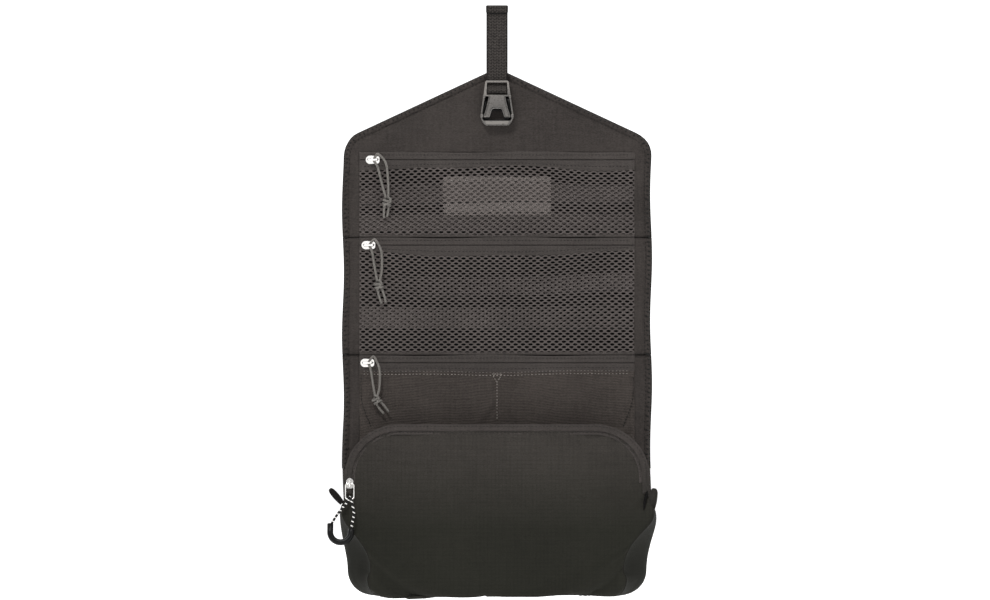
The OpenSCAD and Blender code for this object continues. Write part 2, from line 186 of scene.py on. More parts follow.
def thick(surface, thickness):
    """A sheet of even thickness with its outer face on the surface."""
    n = unit(np.cross(np.gradient(surface, axis=1), np.gradient(surface, axis=0)))
    return closed_sheet(surface, surface + n * thickness * np.sign(n[..., 1].mean()))


def merged(parts):
    """Several (points, faces) as one."""
    verts, faces, start = [], [], 0
    for v, f in parts:
        verts.append(np.asarray(v, float))
        faces.extend([[i + start for i in face] for face in f])
        start += len(v)
    return joined(verts), faces


def tube(path, radius, sides=8, closed=False, flat=1.0):
    """A round tube along a path; flat squeezes it along its second direction."""
    path = np.asarray(path, float)
    count = len(path)
    ahead = unit(np.roll(path, -1, 0) - np.roll(path, 1, 0) if closed else np.gradient(path, axis=0))
    side = np.cross(ahead[0], (0.31, 0.17, 0.93))
    if np.linalg.norm(side) < 0.1:
        side = np.cross(ahead[0], (1, 0, 0))
    turn = np.arange(sides) * TAU / sides
    rings = []
    for p, t, r in zip(path, ahead, np.broadcast_to(radius, (count,))):
        side = unit(side - t * (side @ t))
        up = np.cross(t, side) * flat
        rings.append(p + r * (np.outer(cos(turn), side) + np.outer(sin(turn), up)))
    faces = []
    for i in range(count if closed else count - 1):
        a, b = i * sides, (i + 1) % count * sides
        faces += [[a + k, a + (k + 1) % sides, b + (k + 1) % sides, b + k] for k in range(sides)]
    if not closed:
        faces.append(list(range(sides))[::-1])
        faces.append([(count - 1) * sides + k for k in range(sides)])
    return joined(rings), faces


def spline(points, steps=8, closed=False):
    """Points along a smooth curve through the given ones."""
    p = np.asarray(points, float)
    ring = joined([p[-1:], p, p[:2]]) if closed else joined([p[:1], p, p[-1:]])
    t = span(0, 1, steps, endpoint=False)[:, None]
    out = [0.5 * (2 * b + (c - a) * t + (2 * a - 5 * b + 4 * c - d) * t**2 + (3 * b - a - 3 * c + d) * t**3)
           for a, b, c, d in zip(ring, ring[1:], ring[2:], ring[3:])]
    return joined(out if closed else out + [p[-1:]])


def resample(path, step):
    """The path with points an even step apart."""
    path = np.asarray(path, float)
    run = joined([[0], np.cumsum(np.linalg.norm(np.diff(path, axis=0), axis=1))])
    where = span(0, run[-1], max(int(run[-1] / step), 1) + 1)
    return stack([interp(where, run, path[:, k]) for k in range(path.shape[1])], -1)


def arc(cx, cy, r, a0, a1, steps):
    """Points along part of a circle, between two angles in degrees."""
    a = np.radians(span(a0, a1, steps + 1))
    return stack([cx + r * cos(a), cy + r * sin(a)], -1)


def stitch_line(path, length=2.4, space=1.2, r=0.26):
    """A row of short raised stitches along a path."""
    step = 0.4
    fine = resample(path, step)
    dash = max(int(length / step), 2)
    parts = []
    for k in range(int(len(fine) * step / (length + space))):
        start = int(k * (length + space) / step)
        bit = fine[start:start + dash + 1][::2]
        if len(bit) >= 3:
            parts.append(tube(bit, r * sqrt(1 - span(-0.9, 0.9, len(bit)) ** 2), 5))
    return merged(parts)


def in_slope(x, out, v):
    """A point of the pouch's sloping front: across, outward from it, and up it from the fold."""
    y = hinge_y - out * cos(tilt) + v * sin(tilt)
    return at(x, y, hinge_z + out * sin(tilt) + v * cos(tilt))


def new_object(name, data):
    """Puts data into the scene as an object."""
    obj = bpy.data.objects.new(name, data)
    bpy.context.scene.collection.objects.link(obj)
    return obj


def new_mesh(name, verts, faces):
    """A mesh from points in millimetres."""
    mesh = bpy.data.meshes.new(name)
    mesh.from_pydata((np.asarray(verts) * MM).tolist(), [], faces)
    return mesh


def add(name, shape, material, body=None, replaces=()):
    """A mesh piece of the object."""
    mesh = new_mesh(name, *shape)
    outward = bmesh.new()
    outward.from_mesh(mesh)
    bmesh.ops.recalc_face_normals(outward, faces=outward.faces)
    outward.to_mesh(mesh)
    outward.free()
    mesh.shade_smooth()
    mesh.materials.append(material)
    obj = new_object(name, mesh)
    if body:
        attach(obj, body)
    if replaces:
        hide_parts(*replaces)
    return obj


def bend(obj, first, second, z0, z1, y=0.0):
    """Bakes a piece's placement into its mesh; the other arguments are not used."""
    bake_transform(obj)


def bevelled(obj, width):
    """Rounds the sharp edges of a piece."""
    bevel = obj.modifiers.new("rounding", "BEVEL")
    bevel.width = width * MM
    bevel.segments = 3
    bevel.limit_method = "ANGLE"
    bevel.angle_limit = math.radians(35)
    bevel.harden_normals = True


def welded(points, faces, gap, clean=False):
    """Points and faces with meeting points made one, and the edges left open."""
    sheet = bmesh.new()
    made = [sheet.verts.new(p) for p in points]
    for f in faces:
        try:
            sheet.faces.new([made[i] for i in f])
        except ValueError:
            continue
    bmesh.ops.remove_doubles(sheet, verts=sheet.verts, dist=gap)
    if clean:
        bmesh.ops.dissolve_degenerate(sheet, edges=sheet.edges, dist=gap / 2)
    sheet.verts.index_update()
    verts = array([v.co for v in sheet.verts])
    faces = [[v.index for v in f.verts] for f in sheet.faces]
    open_edges = [[v.index for v in e.verts] for e in sheet.edges if len(e.link_faces) == 1]
    sheet.free()
    return verts, faces, open_edges


def outline_solid(outline, holes, y0, y1, place=None):
    """A flat plate between y0 and y1 from an outline in X and Z, with holes."""
    curve = bpy.data.curves.new("outline", "CURVE")
    curve.dimensions = "2D"
    curve.fill_mode = "BOTH"
    curve.extrude = abs(y1 - y0) / 2
    for loop in [outline] + list(holes):
        line = curve.splines.new("POLY")
        line.points.add(len(loop) - 1)
        for point, (x, z) in zip(line.points, loop):
            point.co = (x, z, 0, 1)
        line.use_cyclic_u = True
    obj = new_object("outline", curve)
    mesh = obj.to_mesh()
    verts = array([v.co for v in mesh.vertices])
    faces = [list(p.vertices) for p in mesh.polygons]
    obj.to_mesh_clear()
    bpy.data.objects.remove(obj)
    bpy.data.curves.remove(curve)
    points = at(verts[:, 0], (y0 + y1) / 2 - verts[:, 2], verts[:, 1])
    return welded(place(points) if place else points, faces, 0.001)[:2]


def rounded_box(x0, x1, z0, z1, r):
    """Outline of a rectangle with round corners."""
    corners = ((x1 - r, z0 + r, -90), (x1 - r, z1 - r, 0), (x0 + r, z1 - r, 90), (x0 + r, z0 + r, 180))
    return joined([arc(x, z, r, a, a + 90, 5) for x, z, a in corners])


def relax_cloth(surface, cap, frames, slack, pressure, hold_middle=False):
    """Runs a cloth simulation on a grid of points held at its rim, and moves them by at most cap."""
    index, quads = grid_quads(*surface.shape[:2])
    held = np.ones(index.shape, bool)
    held[1:-1, 1:-1] = False
    if hold_middle:
        held[:, index.shape[1] // 2] = True
    mesh = new_mesh("cloth", surface.reshape(-1, 3), quads.tolist())
    if mesh.polygons[len(mesh.polygons) // 2].normal.y > 0:
        mesh.flip_normals()
    obj = new_object("cloth", mesh)
    obj.vertex_groups.new(name="pin").add(index[held].tolist(), 1.0, "REPLACE")
    cloth = obj.modifiers.new("cloth", "CLOTH")
    s = cloth.settings
    s.quality = 6
    s.mass = 0.3
    s.tension_stiffness = s.compression_stiffness = 20
    s.shear_stiffness = 8
    s.bending_stiffness = 0.4
    s.vertex_group_mass = "pin"
    s.shrink_min = -slack
    s.use_pressure = True
    s.uniform_pressure_force = pressure
    cloth.collision_settings.use_collision = False
    scene = bpy.context.scene
    scene.frame_start, scene.frame_end = 1, frames
    for f in range(1, frames + 1):
        scene.frame_set(f)
    graph = bpy.context.evaluated_depsgraph_get()
    settled = array([v.co for v in obj.evaluated_get(graph).data.vertices]).reshape(surface.shape) / MM
    bpy.data.objects.remove(obj)
    scene.frame_set(1)
    move = settled - surface
    size = np.linalg.norm(move, axis=2, keepdims=True)
    return surface + move * minimum(1, cap / (size + 1e-9))


# ---------- materials ----------

class Tree:
    """A short way to write the nodes of a material or of the world."""

    def __init__(self, owner):
        owner.use_nodes = True
        self.material = owner
        self.nodes, self.links = owner.node_tree.nodes, owner.node_tree.links
        self.shader = self.nodes.get("Principled BSDF")

    def put(self, socket, value):
        if isinstance(value, bpy.types.NodeSocket):
            self.links.new(value, socket)
        else:
            socket.default_value = value

    def math(self, operation, *values):
        node = self.nodes.new("ShaderNodeMath")
        node.operation = operation
        for socket, value in zip(node.inputs, values):
            self.put(socket, value)
        return node.outputs[0]

    def add(self, a, b):
        return self.math("ADD", a, b)

    def sub(self, a, b):
        return self.math("SUBTRACT", a, b)

    def mul(self, a, b):
        return self.math("MULTIPLY", a, b)

    def mul_add(self, a, b, c):
        return self.math("MULTIPLY_ADD", a, b, c)

    def size(self, a):
        return self.math("ABSOLUTE", a)

    def about(self, value, amount, base):
        """The base, moved up and down by a value that lies around a half."""
        return self.mul_add(self.sub(value, 0.5), amount, base)

    def split(self, kind):
        """X, Y and Z of one of the texture coordinates."""
        node = self.nodes.new("ShaderNodeSeparateXYZ")
        self.links.new(self.nodes.new("ShaderNodeTexCoord").outputs[kind], node.inputs[0])
        return node.outputs

    def axes(self):
        """X, Y and Z of the point on the object, in millimetres."""
        return [self.mul(part, 1 / MM) for part in self.split("Object")]

    def noise(self, scale, detail=3.0, stretch=(1, 1, 1)):
        """Noise between 0 and 1; scale is in features per metre."""
        mapping = self.nodes.new("ShaderNodeMapping")
        mapping.inputs["Scale"].default_value = stretch
        self.links.new(self.nodes.new("ShaderNodeTexCoord").outputs["Object"], mapping.inputs[0])
        node = self.nodes.new("ShaderNodeTexNoise")
        node.inputs["Scale"].default_value = scale
        node.inputs["Detail"].default_value = detail
        self.links.new(mapping.outputs[0], node.inputs["Vector"])
        return node.outputs["Fac"]

    def wave(self, along, period):
        """Sine of a length with the given period."""
        return self.math("SINE", self.mul_add(along, TAU / period, 0.0))

    def clamp(self, value):
        node = self.nodes.new("ShaderNodeClamp")
        self.put(node.inputs[0], value)
        return node.outputs[0]

    def mix(self, fac, a, b):
        node = self.nodes.new("ShaderNodeMix")
        node.data_type = "RGBA"
        for socket, value in zip((node.inputs[0], node.inputs[6], node.inputs[7]), (fac, a, b)):
            self.put(socket, value)
        return node.outputs[2]

    def edge_wear_and_highlight(self):
        """Above 0 on the outer edges of the shape, 0 or less elsewhere: worn edges on cloth, painted
        highlights on moulded parts.
        """
        return self.mul(self.sub(self.nodes.new("ShaderNodeNewGeometry").outputs["Pointiness"], 0.52), 8.0)

    def surface(self, **values):
        """Sets inputs of the shader by name, with _ for a space."""
        for name, value in values.items():
            self.put(self.shader.inputs[name.replace("_", " ")], value)

    def bump(self, height, distance, strength):
        node = self.nodes.new("ShaderNodeBump")
        node.inputs["Distance"].default_value = distance * MM
        node.inputs["Strength"].default_value = strength
        self.links.new(height, node.inputs["Height"])
        self.surface(Normal=node.outputs[0])
        return self.material


def linear(*screen):
    """A screen colour, 0 to 255, as the linear colour that nodes take."""
    return tuple(((c / 255 + 0.055) / 1.055) ** 2.4 for c in screen) + (1.0,)


def shade(c, k):
    return tuple(v * k for v in c[:3]) + (1.0,)


def fabric(name, screen, thread=0.55, ribs=0.0, grid=0.0, relief=0.1, sheen=0.04, foot=None, uneven=1.0,
           backing=None):
    """Woven cloth: fine threads, optional ribs or a ripstop grid, uneven dye, and a darker foot colour that
    is painted shade, as if lit from above.
    Thin cloth is painted lighter where the pale piece named as its backing shows through it."""
    t = Tree(bpy.data.materials.new(name))
    base = linear(*screen)
    x, y, z = t.axes()
    warp = t.wave(t.add(x, y), thread)
    weft = t.wave(t.add(z, t.mul(y, 0.6)), thread)
    height = t.mul_add(t.mul(warp, weft), 0.25, 0.5)
    if ribs:
        fan = t.mul_add(t.size(x), 0.09, z)
        height = t.mul_add(t.wave(t.mul_add(t.noise(22), 9.0, fan), ribs), 0.36, height)
    if grid:
        across = t.mul(t.math("POWER", t.size(t.wave(x, 2 * grid)), 12.0), t.noise(35, 2))
        up = t.mul(t.math("POWER", t.size(t.wave(z, 2 * grid)), 12.0), t.noise(28, 2))
        height = t.mul_add(t.math("MAXIMUM", across, up), -0.6, height)
    slub = t.noise(620, 4, (1, 1, 2.5))
    tone = t.about(height, 0.5, 0.5)
    for layer, amount in ((slub, 1.6), (t.noise(60, 4, (0.6, 0.6, 7.0)), 0.5),
                          (t.noise(60, 4, (7.0, 0.6, 0.6)), 0.5), (t.noise(14), 0.8)):
        tone = t.about(layer, amount * uneven, tone)
    tone = t.clamp(tone)
    body = t.mix(tone, shade(base, 0.62), shade(base, 1.38))
    # Painted shade: lower down, the colour turns to the darker foot colour, as if lit from above.
    if foot:
        low = base_z + 63
        painted_top_light = t.clamp(t.math("DIVIDE", t.sub(z, low), pouch_top - 20 - low))
        body = t.mix(painted_top_light, t.mix(tone, shade(linear(*foot), 0.72), shade(linear(*foot), 1.28)), body)
    # Painted light: the thin cloth is lightened over its pale backing, for the light that comes through it.
    if backing:
        (x0, _, z0), (x1, _, z1) = cad(backing)
        wide = t.math("COMPARE", x, (x0 + x1) / 2, (x1 - x0) / 2)
        tall = t.math("COMPARE", z, (z0 + z1) / 2, (z1 - z0) / 2)
        body = t.mix(t.mul(t.mul(wide, tall), 0.4), body, shade(base, 2.2))
    t.surface(Base_Color=t.mix(t.mul(t.clamp(t.edge_wear_and_highlight()), 0.2), body, shade(base, 1.6)),
              Roughness=t.mul_add(slub, 0.2, 0.75), Sheen_Weight=sheen, Specular_IOR_Level=0.1)
    return t.bump(height, relief, 0.8)


def webbing_material(name, *screen):
    """Heavy ribbed weave of a strap, with a herringbone across it, darker along both edges."""
    t = Tree(bpy.data.materials.new(name))
    base = linear(*screen)
    x, y, z = t.axes()
    rows = t.wave(t.mul_add(t.size(t.wave(x, 8.0)), 1.4, t.add(z, t.mul(y, 0.7))), 2.7)
    height = t.mul_add(rows, 0.3, t.mul_add(t.wave(x, 2.4), 0.16, 0.5))
    woven = t.mix(t.clamp(t.about(t.noise(500), 1.2, height)), shade(base, 0.3), shade(base, 1.75))
    # Darkened along both edges of the strap.
    edge_darkening = t.mul(t.clamp(t.sub(t.size(x), half_strap - 1.5)), 1.1)
    t.surface(Base_Color=t.mix(edge_darkening, woven, shade(base, 0.12)), Roughness=0.8, Sheen_Weight=0.04,
              Specular_IOR_Level=0.1)
    return t.bump(height, 0.35, 0.9)


def cord_material(name, screen, fleck=None):
    """Braided cord with crossing strands, and flecks of a second colour if asked."""
    t = Tree(bpy.data.materials.new(name))
    base = linear(*screen)
    x, _, z = t.axes()
    height = t.mul_add(t.mul(t.wave(t.add(z, x), 2.1), t.wave(t.sub(z, x), 2.1)), 0.4, 0.5)
    body = t.mix(t.clamp(t.about(t.noise(900), 0.8, height)), shade(base, 0.25), shade(base, 1.8))
    if fleck:
        body = t.mix(t.math("GREATER_THAN", t.wave(t.mul_add(x, 0.5, z), 4.4), 0.72), body, linear(*fleck))
    t.surface(Base_Color=body, Roughness=0.7, Specular_IOR_Level=0.2)
    return t.bump(height, 0.3, 0.8)


def moulded(name, screen, rough, metal=0.0, gloss=0.5, grain=900, relief=0.03, side_shade=0.0):
    """Moulded plastic, rubber or metal, with a fine grain, edges painted lighter as highlights (plain colour
    on metal) and, if asked, sides painted dark as shade.
    """
    t = Tree(bpy.data.materials.new(name))
    base = linear(*screen)
    grit = t.noise(grain)
    body = t.mix(t.clamp(t.about(t.noise(60), 0.8, grit)), shade(base, 0.82), shade(base, 1.16))
    # Painted highlight: outer edges lightened, except on metal.
    edge_highlight = t.mul(t.clamp(t.mul(t.edge_wear_and_highlight(), 2.0)), 0.8)
    body = t.mix(edge_highlight, body, base if metal else shade(base, 2.6))
    # Painted shade: faces turned sideways, away from the front, darkened almost to black.
    if side_shade:
        away = t.sub(0.8, t.size(t.split("Normal")[1]))
        body = t.mix(t.clamp(t.mul(away, 3.0 * side_shade)), body, shade(base, 0.1))
    t.surface(Base_Color=body, Roughness=t.mul_add(grit, 0.16, rough - 0.08), Metallic=metal,
              Specular_IOR_Level=gloss)
    return t.bump(grit, relief, 0.4)


shell_cloth = fabric("shell_cloth", (48, 44, 42), uneven=1.2)
lining_cloth = fabric("lining_cloth", (9, 8, 8), sheen=0.0)
# Near-black cloth: painted shade along the panels' rounded edges, and the left zip-end tab.
near_black_cloth = fabric("near_black_cloth", (20, 18, 17), thread=0.8, sheen=0.0)
ribbed_cloth = fabric("ribbed_cloth", (58, 53, 50), ribs=2.6, relief=0.35, uneven=1.1)
# Its foot colour is painted shade, darker towards the bottom.
pouch_cloth = fabric("pouch_cloth", (49, 46, 43), grid=3.5, relief=0.15, sheen=0.02, foot=(31, 31, 26),
                     uneven=0.9)
# Painted shade: a darker copy of the pouch cloth for the pouch's sides and piping, darker still towards the
# foot.
shaded_sides_cloth = fabric("shaded_sides_cloth", (44, 41, 39), relief=0.15, sheen=0.0, foot=(26, 26, 22))
# Its foot colour is painted shade, darker towards the bottom.
band_cloth = fabric("band_cloth", (54, 50, 48), thread=0.8, relief=0.12, sheen=0.02, foot=(31, 31, 28))
tape_cloth = fabric("tape_cloth", (57, 53, 51), thread=0.8, relief=0.15)
mesh_yarn = fabric("mesh_yarn", (72, 67, 65), thread=0.5, backing="label_patch")
label_cloth = fabric("label_cloth", (135, 129, 125), thread=0.4, uneven=0.15)
thread = cord_material("thread", (124, 118, 113))
dark_thread = cord_material("dark_thread", (16, 15, 14))
webbing = webbing_material("webbing", 43, 40, 38)
cord = cord_material("cord", (97, 94, 90))
black_cord = cord_material("black_cord", (9, 9, 9), (225, 223, 220))
# Plastic: its lighter edges are painted highlights and its dark sides are painted shade.
plastic = moulded("plastic", (70, 67, 64), 0.28, gloss=0.7, grain=350, relief=0.004, side_shade=1.0)
steel = moulded("steel", (243, 241, 238), 0.14, metal=1.0, relief=0.008)
rubber = moulded("rubber", (4, 4, 4), 0.3, gloss=0.14)
coil_plastic = moulded("coil_plastic", (26, 24, 23), 0.45, gloss=0.2)


# ---------- padded panels ----------

edge_round = 3.2
stitch_inset = 5.5


def panel_depth(x, z, edge, seams):
    """How far a panel's front stands out from the lining: rounded at its edges, pinched at its stitching."""
    height = (lining_y - facing_y) * dome(edge, edge_round) * (0.35 + 0.65 * dome(seams, 1.6))
    groove = 1.2 * bell(edge - stitch_inset, 1.1)
    pucker = 0.35 * sin(TAU * (x + z) / 8.5 + 2 * ripple(x, z, 30)) * bell(edge - stitch_inset, 5)
    folds = 0.7 * ripple(x, z, 34) + 0.35 * ripple(z, x, 13)
    return height - groove + pucker + folds * smooth((edge - 3) / 12)


def edge_distance(x, z, outline):
    """Distance from each point to an outline of straight pieces."""
    best = np.full(x.shape, 1e9)
    for a, b in zip(outline[:-1], outline[1:]):
        d = b - a
        t = clip(((x - a[0]) * d[0] + (z - a[1]) * d[1]) / (d @ d), 0, 1)
        best = minimum(best, np.hypot(x - a[0] - t * d[0], z - a[1] - t * d[1]))
    return best


def across_steps(count, crowding):
    """Steps from -1 to 1, closer together near both ends."""
    return sin(span(-1, 1, count) * pi / 2) * crowding + span(-1, 1, count) * (1 - crowding)


def panel_grid(heights, widths, cols=150):
    """Rows of points across a panel at the given heights and half widths."""
    x = widths[:, None] * across_steps(cols, 0.35)
    return x, np.broadcast_to(heights[:, None], x.shape)


def sway(x, z):
    """Sideways waver of a panel's edges, which fades out before the pockets."""
    side = np.sign(x)
    return side * 0.9 * sin(z / 19 + 1.2 * side) * smooth((abs(x) - half_w + 12) / 10)


def panel(part, body, heights, window, seams):
    """One zone of the folding panel as a soft padded solid, sunk where its pocket sits."""
    zs, xs = cad_outline(f"{part}_shell")
    x, z = panel_grid(heights, interp(heights, zs, xs))
    edge = edge_distance(abs(x), z, stack([xs, zs], -1))
    if zs[-1] >= tip_z - 0.1:
        edge = minimum(edge, abs(z - zs[-1]))
    seam = np.min([abs(z - s) for s in seams], axis=0)
    inside = smooth((pocket_half - abs(x)) / 1.5) * smooth((window - z) / 1.5)
    across = x + sway(x, z)
    front = at(across, lining_y - panel_depth(x, z, edge, seam) * (1 - inside), z)
    back_out = 0.9 * (1 - dome(edge, edge_round)) + 0.5 * bell(edge - stitch_inset, 1.1)
    back_out = back_out + 0.7 * (1 - dome(seam, 2.0)) - 0.25 * (1 + ripple(x + 40, z, 40)) * smooth(edge / 14)
    add(f"panel_{part}", closed_sheet(front, at(across, back_y + 0.1 - back_out, z)), shell_cloth,
        body, [f"{part}_{layer}" for layer in ("shell", "foam", "lining", "facing")])


def rows_between(low, high, step):
    return span(low, high, int((high - low) / step) + 1)


outline_z, outline_x = cad_outline("upper_shell")
lower_z, _ = cad_outline("lower_shell")
panel("upper", "upper_panel", np.unique(joined([rows_between(upper_foot, tip_z, 2.0), outline_z])),
      pocket_tops[0], [upper_foot])
panel("middle", "middle_panel", rows_between(*middle_ends, 2.0), 0, middle_ends)
panel("lower", "pouch", np.unique(joined([rows_between(lower_z[0], lower_top, 2.2), lower_z])), 0,
      [lower_top])


def pocket_lining(n, low, high):
    """Dark lining at the back of a pocket, slightly slack."""
    x, z = meshgrid(span(-pocket_half + 0.4, pocket_half - 0.4, 90), span(low, high, 30))
    front = at(x, lining_y - 0.35 - 0.2 * ripple(x, z, 20), z)
    add(f"pocket_lining_{n + 1}", slab(front, 0.25), lining_cloth, body_names[n])


def fold_strip(name, seam, above, below):
    """The strip of cloth at the back of a fold."""
    reach = 8
    x, z = meshgrid(span(-half_w - 0.3, half_w + 0.3, 120), span(seam + reach, seam - reach, 33))
    y = back_y + 0.75 - 0.45 * (abs(z - seam) / reach) ** 2 + 0.06 * ripple(x, z, 14)
    obj = add(name, slab(at(x + sway(x, z), y - 1.3, z), 1.3), tape_cloth)
    bend(obj, above, below, seam + reach / 2, seam - reach / 2)


pocket_lining(0, seam_1 + 1.5, pocket_tops[0] - 1)
pocket_lining(1, seam_2 + 1.5, seam_1 - 1.5)
pocket_lining(2, pouch_top - 16, seam_2 - 1.5)
fold_strip("fold_strip_upper", seam_1, "upper_panel", "middle_panel")
fold_strip("fold_strip_lower", seam_2, "middle_panel", "pouch")


def on_edge(points, side, y):
    """Outline points on one side of a panel, moved with its wavering edge, at a depth."""
    x, z = side * points[:, 0], points[:, 1]
    return at(x + sway(x, z), y, z)


def edge_stitches(part, z0, z1, zs, xs, body):
    """A panel's edge: a thin near-black tube along it as painted shade of its rounding, the topstitching
    inside it and the short ticks across it.
    """
    outline = stack([xs, zs], -1)[(zs >= z0 - 0.01) & (zs <= z1 + 0.01)]
    path = resample(outline, 1.0)
    spots = resample(path, 4.3)
    rim = path[path[:, 0] > 0.3]
    rim = rim + 0.35 * left_of(rim)
    inner = path + stitch_inset * left_of(path)
    inner = inner[inner[:, 0] > 0.5]
    steps = array((0, 0.35, 0.7, 1))
    stitches, edge_shade_lines = [], []
    for side in (-1, 1):
        stitches.append(stitch_line(on_edge(inner, side, facing_y + 0.35), 2.2, 1.4, 0.34))
        # Painted shade: a near-black tube along the rounded edge, where it turns away from the light.
        edge_shade_lines.append(tube(on_edge(rim, side, lining_y - 0.1), 0.85))
        for k, (spot, way) in enumerate(zip(spots, left_of(spots))):
            reach = 2.6 + 0.8 * sin(2.4 * k + side)
            drop = 0.9 + 0.6 * sin(1.7 * k)
            line = spot + 1.3 * way + np.outer(steps * reach, way) + np.outer(steps * drop, (0, 1))
            line = on_edge(line, side, facing_y + 0.45 - 0.45 * steps)
            stitches.append(tube(line, (0.3, 0.75, 0.75, 0.3), 6))
    add(f"edge_stitching_{part}", merged(stitches), dark_thread, body)
    add(f"edge_shade_line_{part}", merged(edge_shade_lines), near_black_cloth, body)


edge_stitches("upper", upper_foot, tip_z, outline_z, outline_x, "upper_panel")
edge_stitches("middle", *middle_ends, *cad_outline("middle_shell"), "middle_panel")
edge_stitches("lower", hinge_z + 20, lower_top, array([hinge_z + 20, lower_top]),
              array([half_w, half_w]), "pouch")


# ---------- zips of the pockets ----------

def pocket_wave(x, n):
    """How a pocket's edge rises and dips across the bag."""
    height, length = ((2.2, 38), (-2.6, 46), (-1.1, 62))[n]
    return height * cos(x / length + 0.2) + 0.5 * sin(x / 19 + 2.3 * n)


def zip_band(n):
    """The two tapes of a pocket's zip, and the coil behind the slit between them."""
    z0, body = zip_z[n], body_names[n]
    x = span(-pocket_half, pocket_half, 170)
    tape_low, tape_high = cad(f"zip_tape_{n + 1}")
    parts = []
    for low, high in ((0.2, tape_high[2] - z0), (tape_low[2] - z0 - 0.8, -0.2)):
        xx, vv = meshgrid(x, span(0, 1, 11))
        zz = z0 + low + (high - low) * vv
        far = smooth(abs(zz - z0) / 6)
        waver = 0.7 * sin(xx / 21 + n) * smooth(1.2 - abs(xx) / pocket_half)
        zz = zz + (pocket_wave(xx, n) * (low < 0) + waver) * far
        crown = 0.6 * dome(minimum(vv, 1 - vv), 0.2) + 0.35 * ripple(xx, zz, 11) * far
        ridge = 0.45 * bell(abs(zz - z0) - 1.2, 0.7)
        parts.append(slab(at(xx, tape_y + 0.35 - crown - ridge, zz), 0.5))
    add(f"zip_band_{n + 1}", merged(parts), tape_cloth, body, (f"zip_tape_{n + 1}",))
    add(f"zip_teeth_{n + 1}", coil_rows(*cad(f"zip_coil_{n + 1}"), z0), coil_plastic, body,
        (f"zip_coil_{n + 1}",))
    lines = []
    for offset in (-4.6, 4.6):
        line = at(x, tape_y - 0.42, z0 + offset + pocket_wave(x, n) * 0.7 * (offset < 0))
        lines.append(stitch_line(line[3:-3], 2.2, 1.1, 0.3))
    add(f"zip_stitching_{n + 1}", merged(lines), dark_thread, body)


def coil_rows(low, high, z0, pitch=1.5, width=1.35, gap=0.35, wire=0.22):
    """Two rows of wound coil either side of a zip's middle, within the CAD coil's length and depth."""
    t = np.arange(int((high[0] - low[0]) / pitch * 6)) / 6
    y = (low[1] + high[1]) / 2 + ((high[1] - low[1]) / 2 - wire) * sin(TAU * t)
    across = gap + width / 2 + (width / 2 - 0.2) * cos(TAU * t)
    return merged([tube(at(low[0] + t * pitch, y, z0 + side * across), wire, 4) for side in (-1, 1)])


for n in range(3):
    zip_band(n)


# ---------- pockets ----------

hole_pitch = 7.05
hole_row = 2.45
hole_half = (2.15, 1.1)


def net(x0, x1, z0, z1, place, thickness, shift=0.0):
    """Knitted mesh with real holes in staggered rows; place turns X and Z into a point of the pocket."""
    cols = int(round((x1 - x0) / hole_pitch))
    rows = int(round((z1 - z0) / hole_row))
    cell = array(((x1 - x0) / cols, (z1 - z0) / rows))
    rim = array([(-2, -2), (-1, -2), (0, -2), (1, -2), (2, -2), (2, 0),
                    (2, 2), (1, 2), (0, 2), (-1, 2), (-2, 2), (-2, 0)]) / 4
    sides = len(rim)
    angle = np.radians([208, 240, 270, 300, 332, 0, 28, 60, 90, 120, 152, 180])
    round_x = np.sign(cos(angle)) * abs(cos(angle)) ** 1.15
    hole = stack([hole_half[0] * round_x + shift, hole_half[1] * sin(angle)], -1)
    verts, faces = [], []
    for j in range(rows):
        odd = j % 2
        for i in range(cols + odd):
            centre = (x0, z0) + cell * (i + 0.5 - 0.5 * odd, j + 0.5)
            outer, inner = centre + rim * cell, centre + hole
            outer[:, 0] = clip(outer[:, 0], x0, x1)
            inner[:, 0] = clip(inner[:, 0], x0 + 0.2, x1 - 0.2)
            start = len(verts) * 2 * sides
            verts.append(joined([outer, inner]))
            for k in range(sides):
                after = (k + 1) % sides
                faces.append([start + k, start + after, start + sides + after, start + sides + k])
    top, quads, border = welded(place(*joined(verts).T), faces, 0.02, clean=True)
    count = len(top)
    faces = quads + [[k + count for k in q[::-1]] for q in quads]
    faces += [[a, b, b + count, a + count] for a, b in border]
    return joined([top, top + (0, thickness, 0)]), faces


def cloth_field(x0, x1, z0, z1, pressure):
    """A pocket front settled by cloth simulation, as a function that gives the depth at X and Z."""
    cols, rows = 66, 26
    xx, zz = meshgrid(span(x0, x1, cols), span(z0, z1, rows))
    lift = relax_cloth(at(xx, tape_y, zz), 2.2, 18, 0.012, pressure)[..., 1] - tape_y

    def depth(px, pz):
        u = clip((px - x0) / (x1 - x0), 0, 1) * (cols - 1)
        v = clip((pz - z0) / (z1 - z0), 0, 1) * (rows - 1)
        i, j = minimum(u.astype(int), cols - 2), minimum(v.astype(int), rows - 2)
        a, b = u - i, v - j
        near = lift[j, i] * (1 - a) + lift[j, i + 1] * a
        far = lift[j + 1, i] * (1 - a) + lift[j + 1, i + 1] * a
        return minimum(near * (1 - b) + far * b, 0.4)

    return depth


net_bands = (((30, 18), (58, 17)), ((36, 18), (66, 20)))


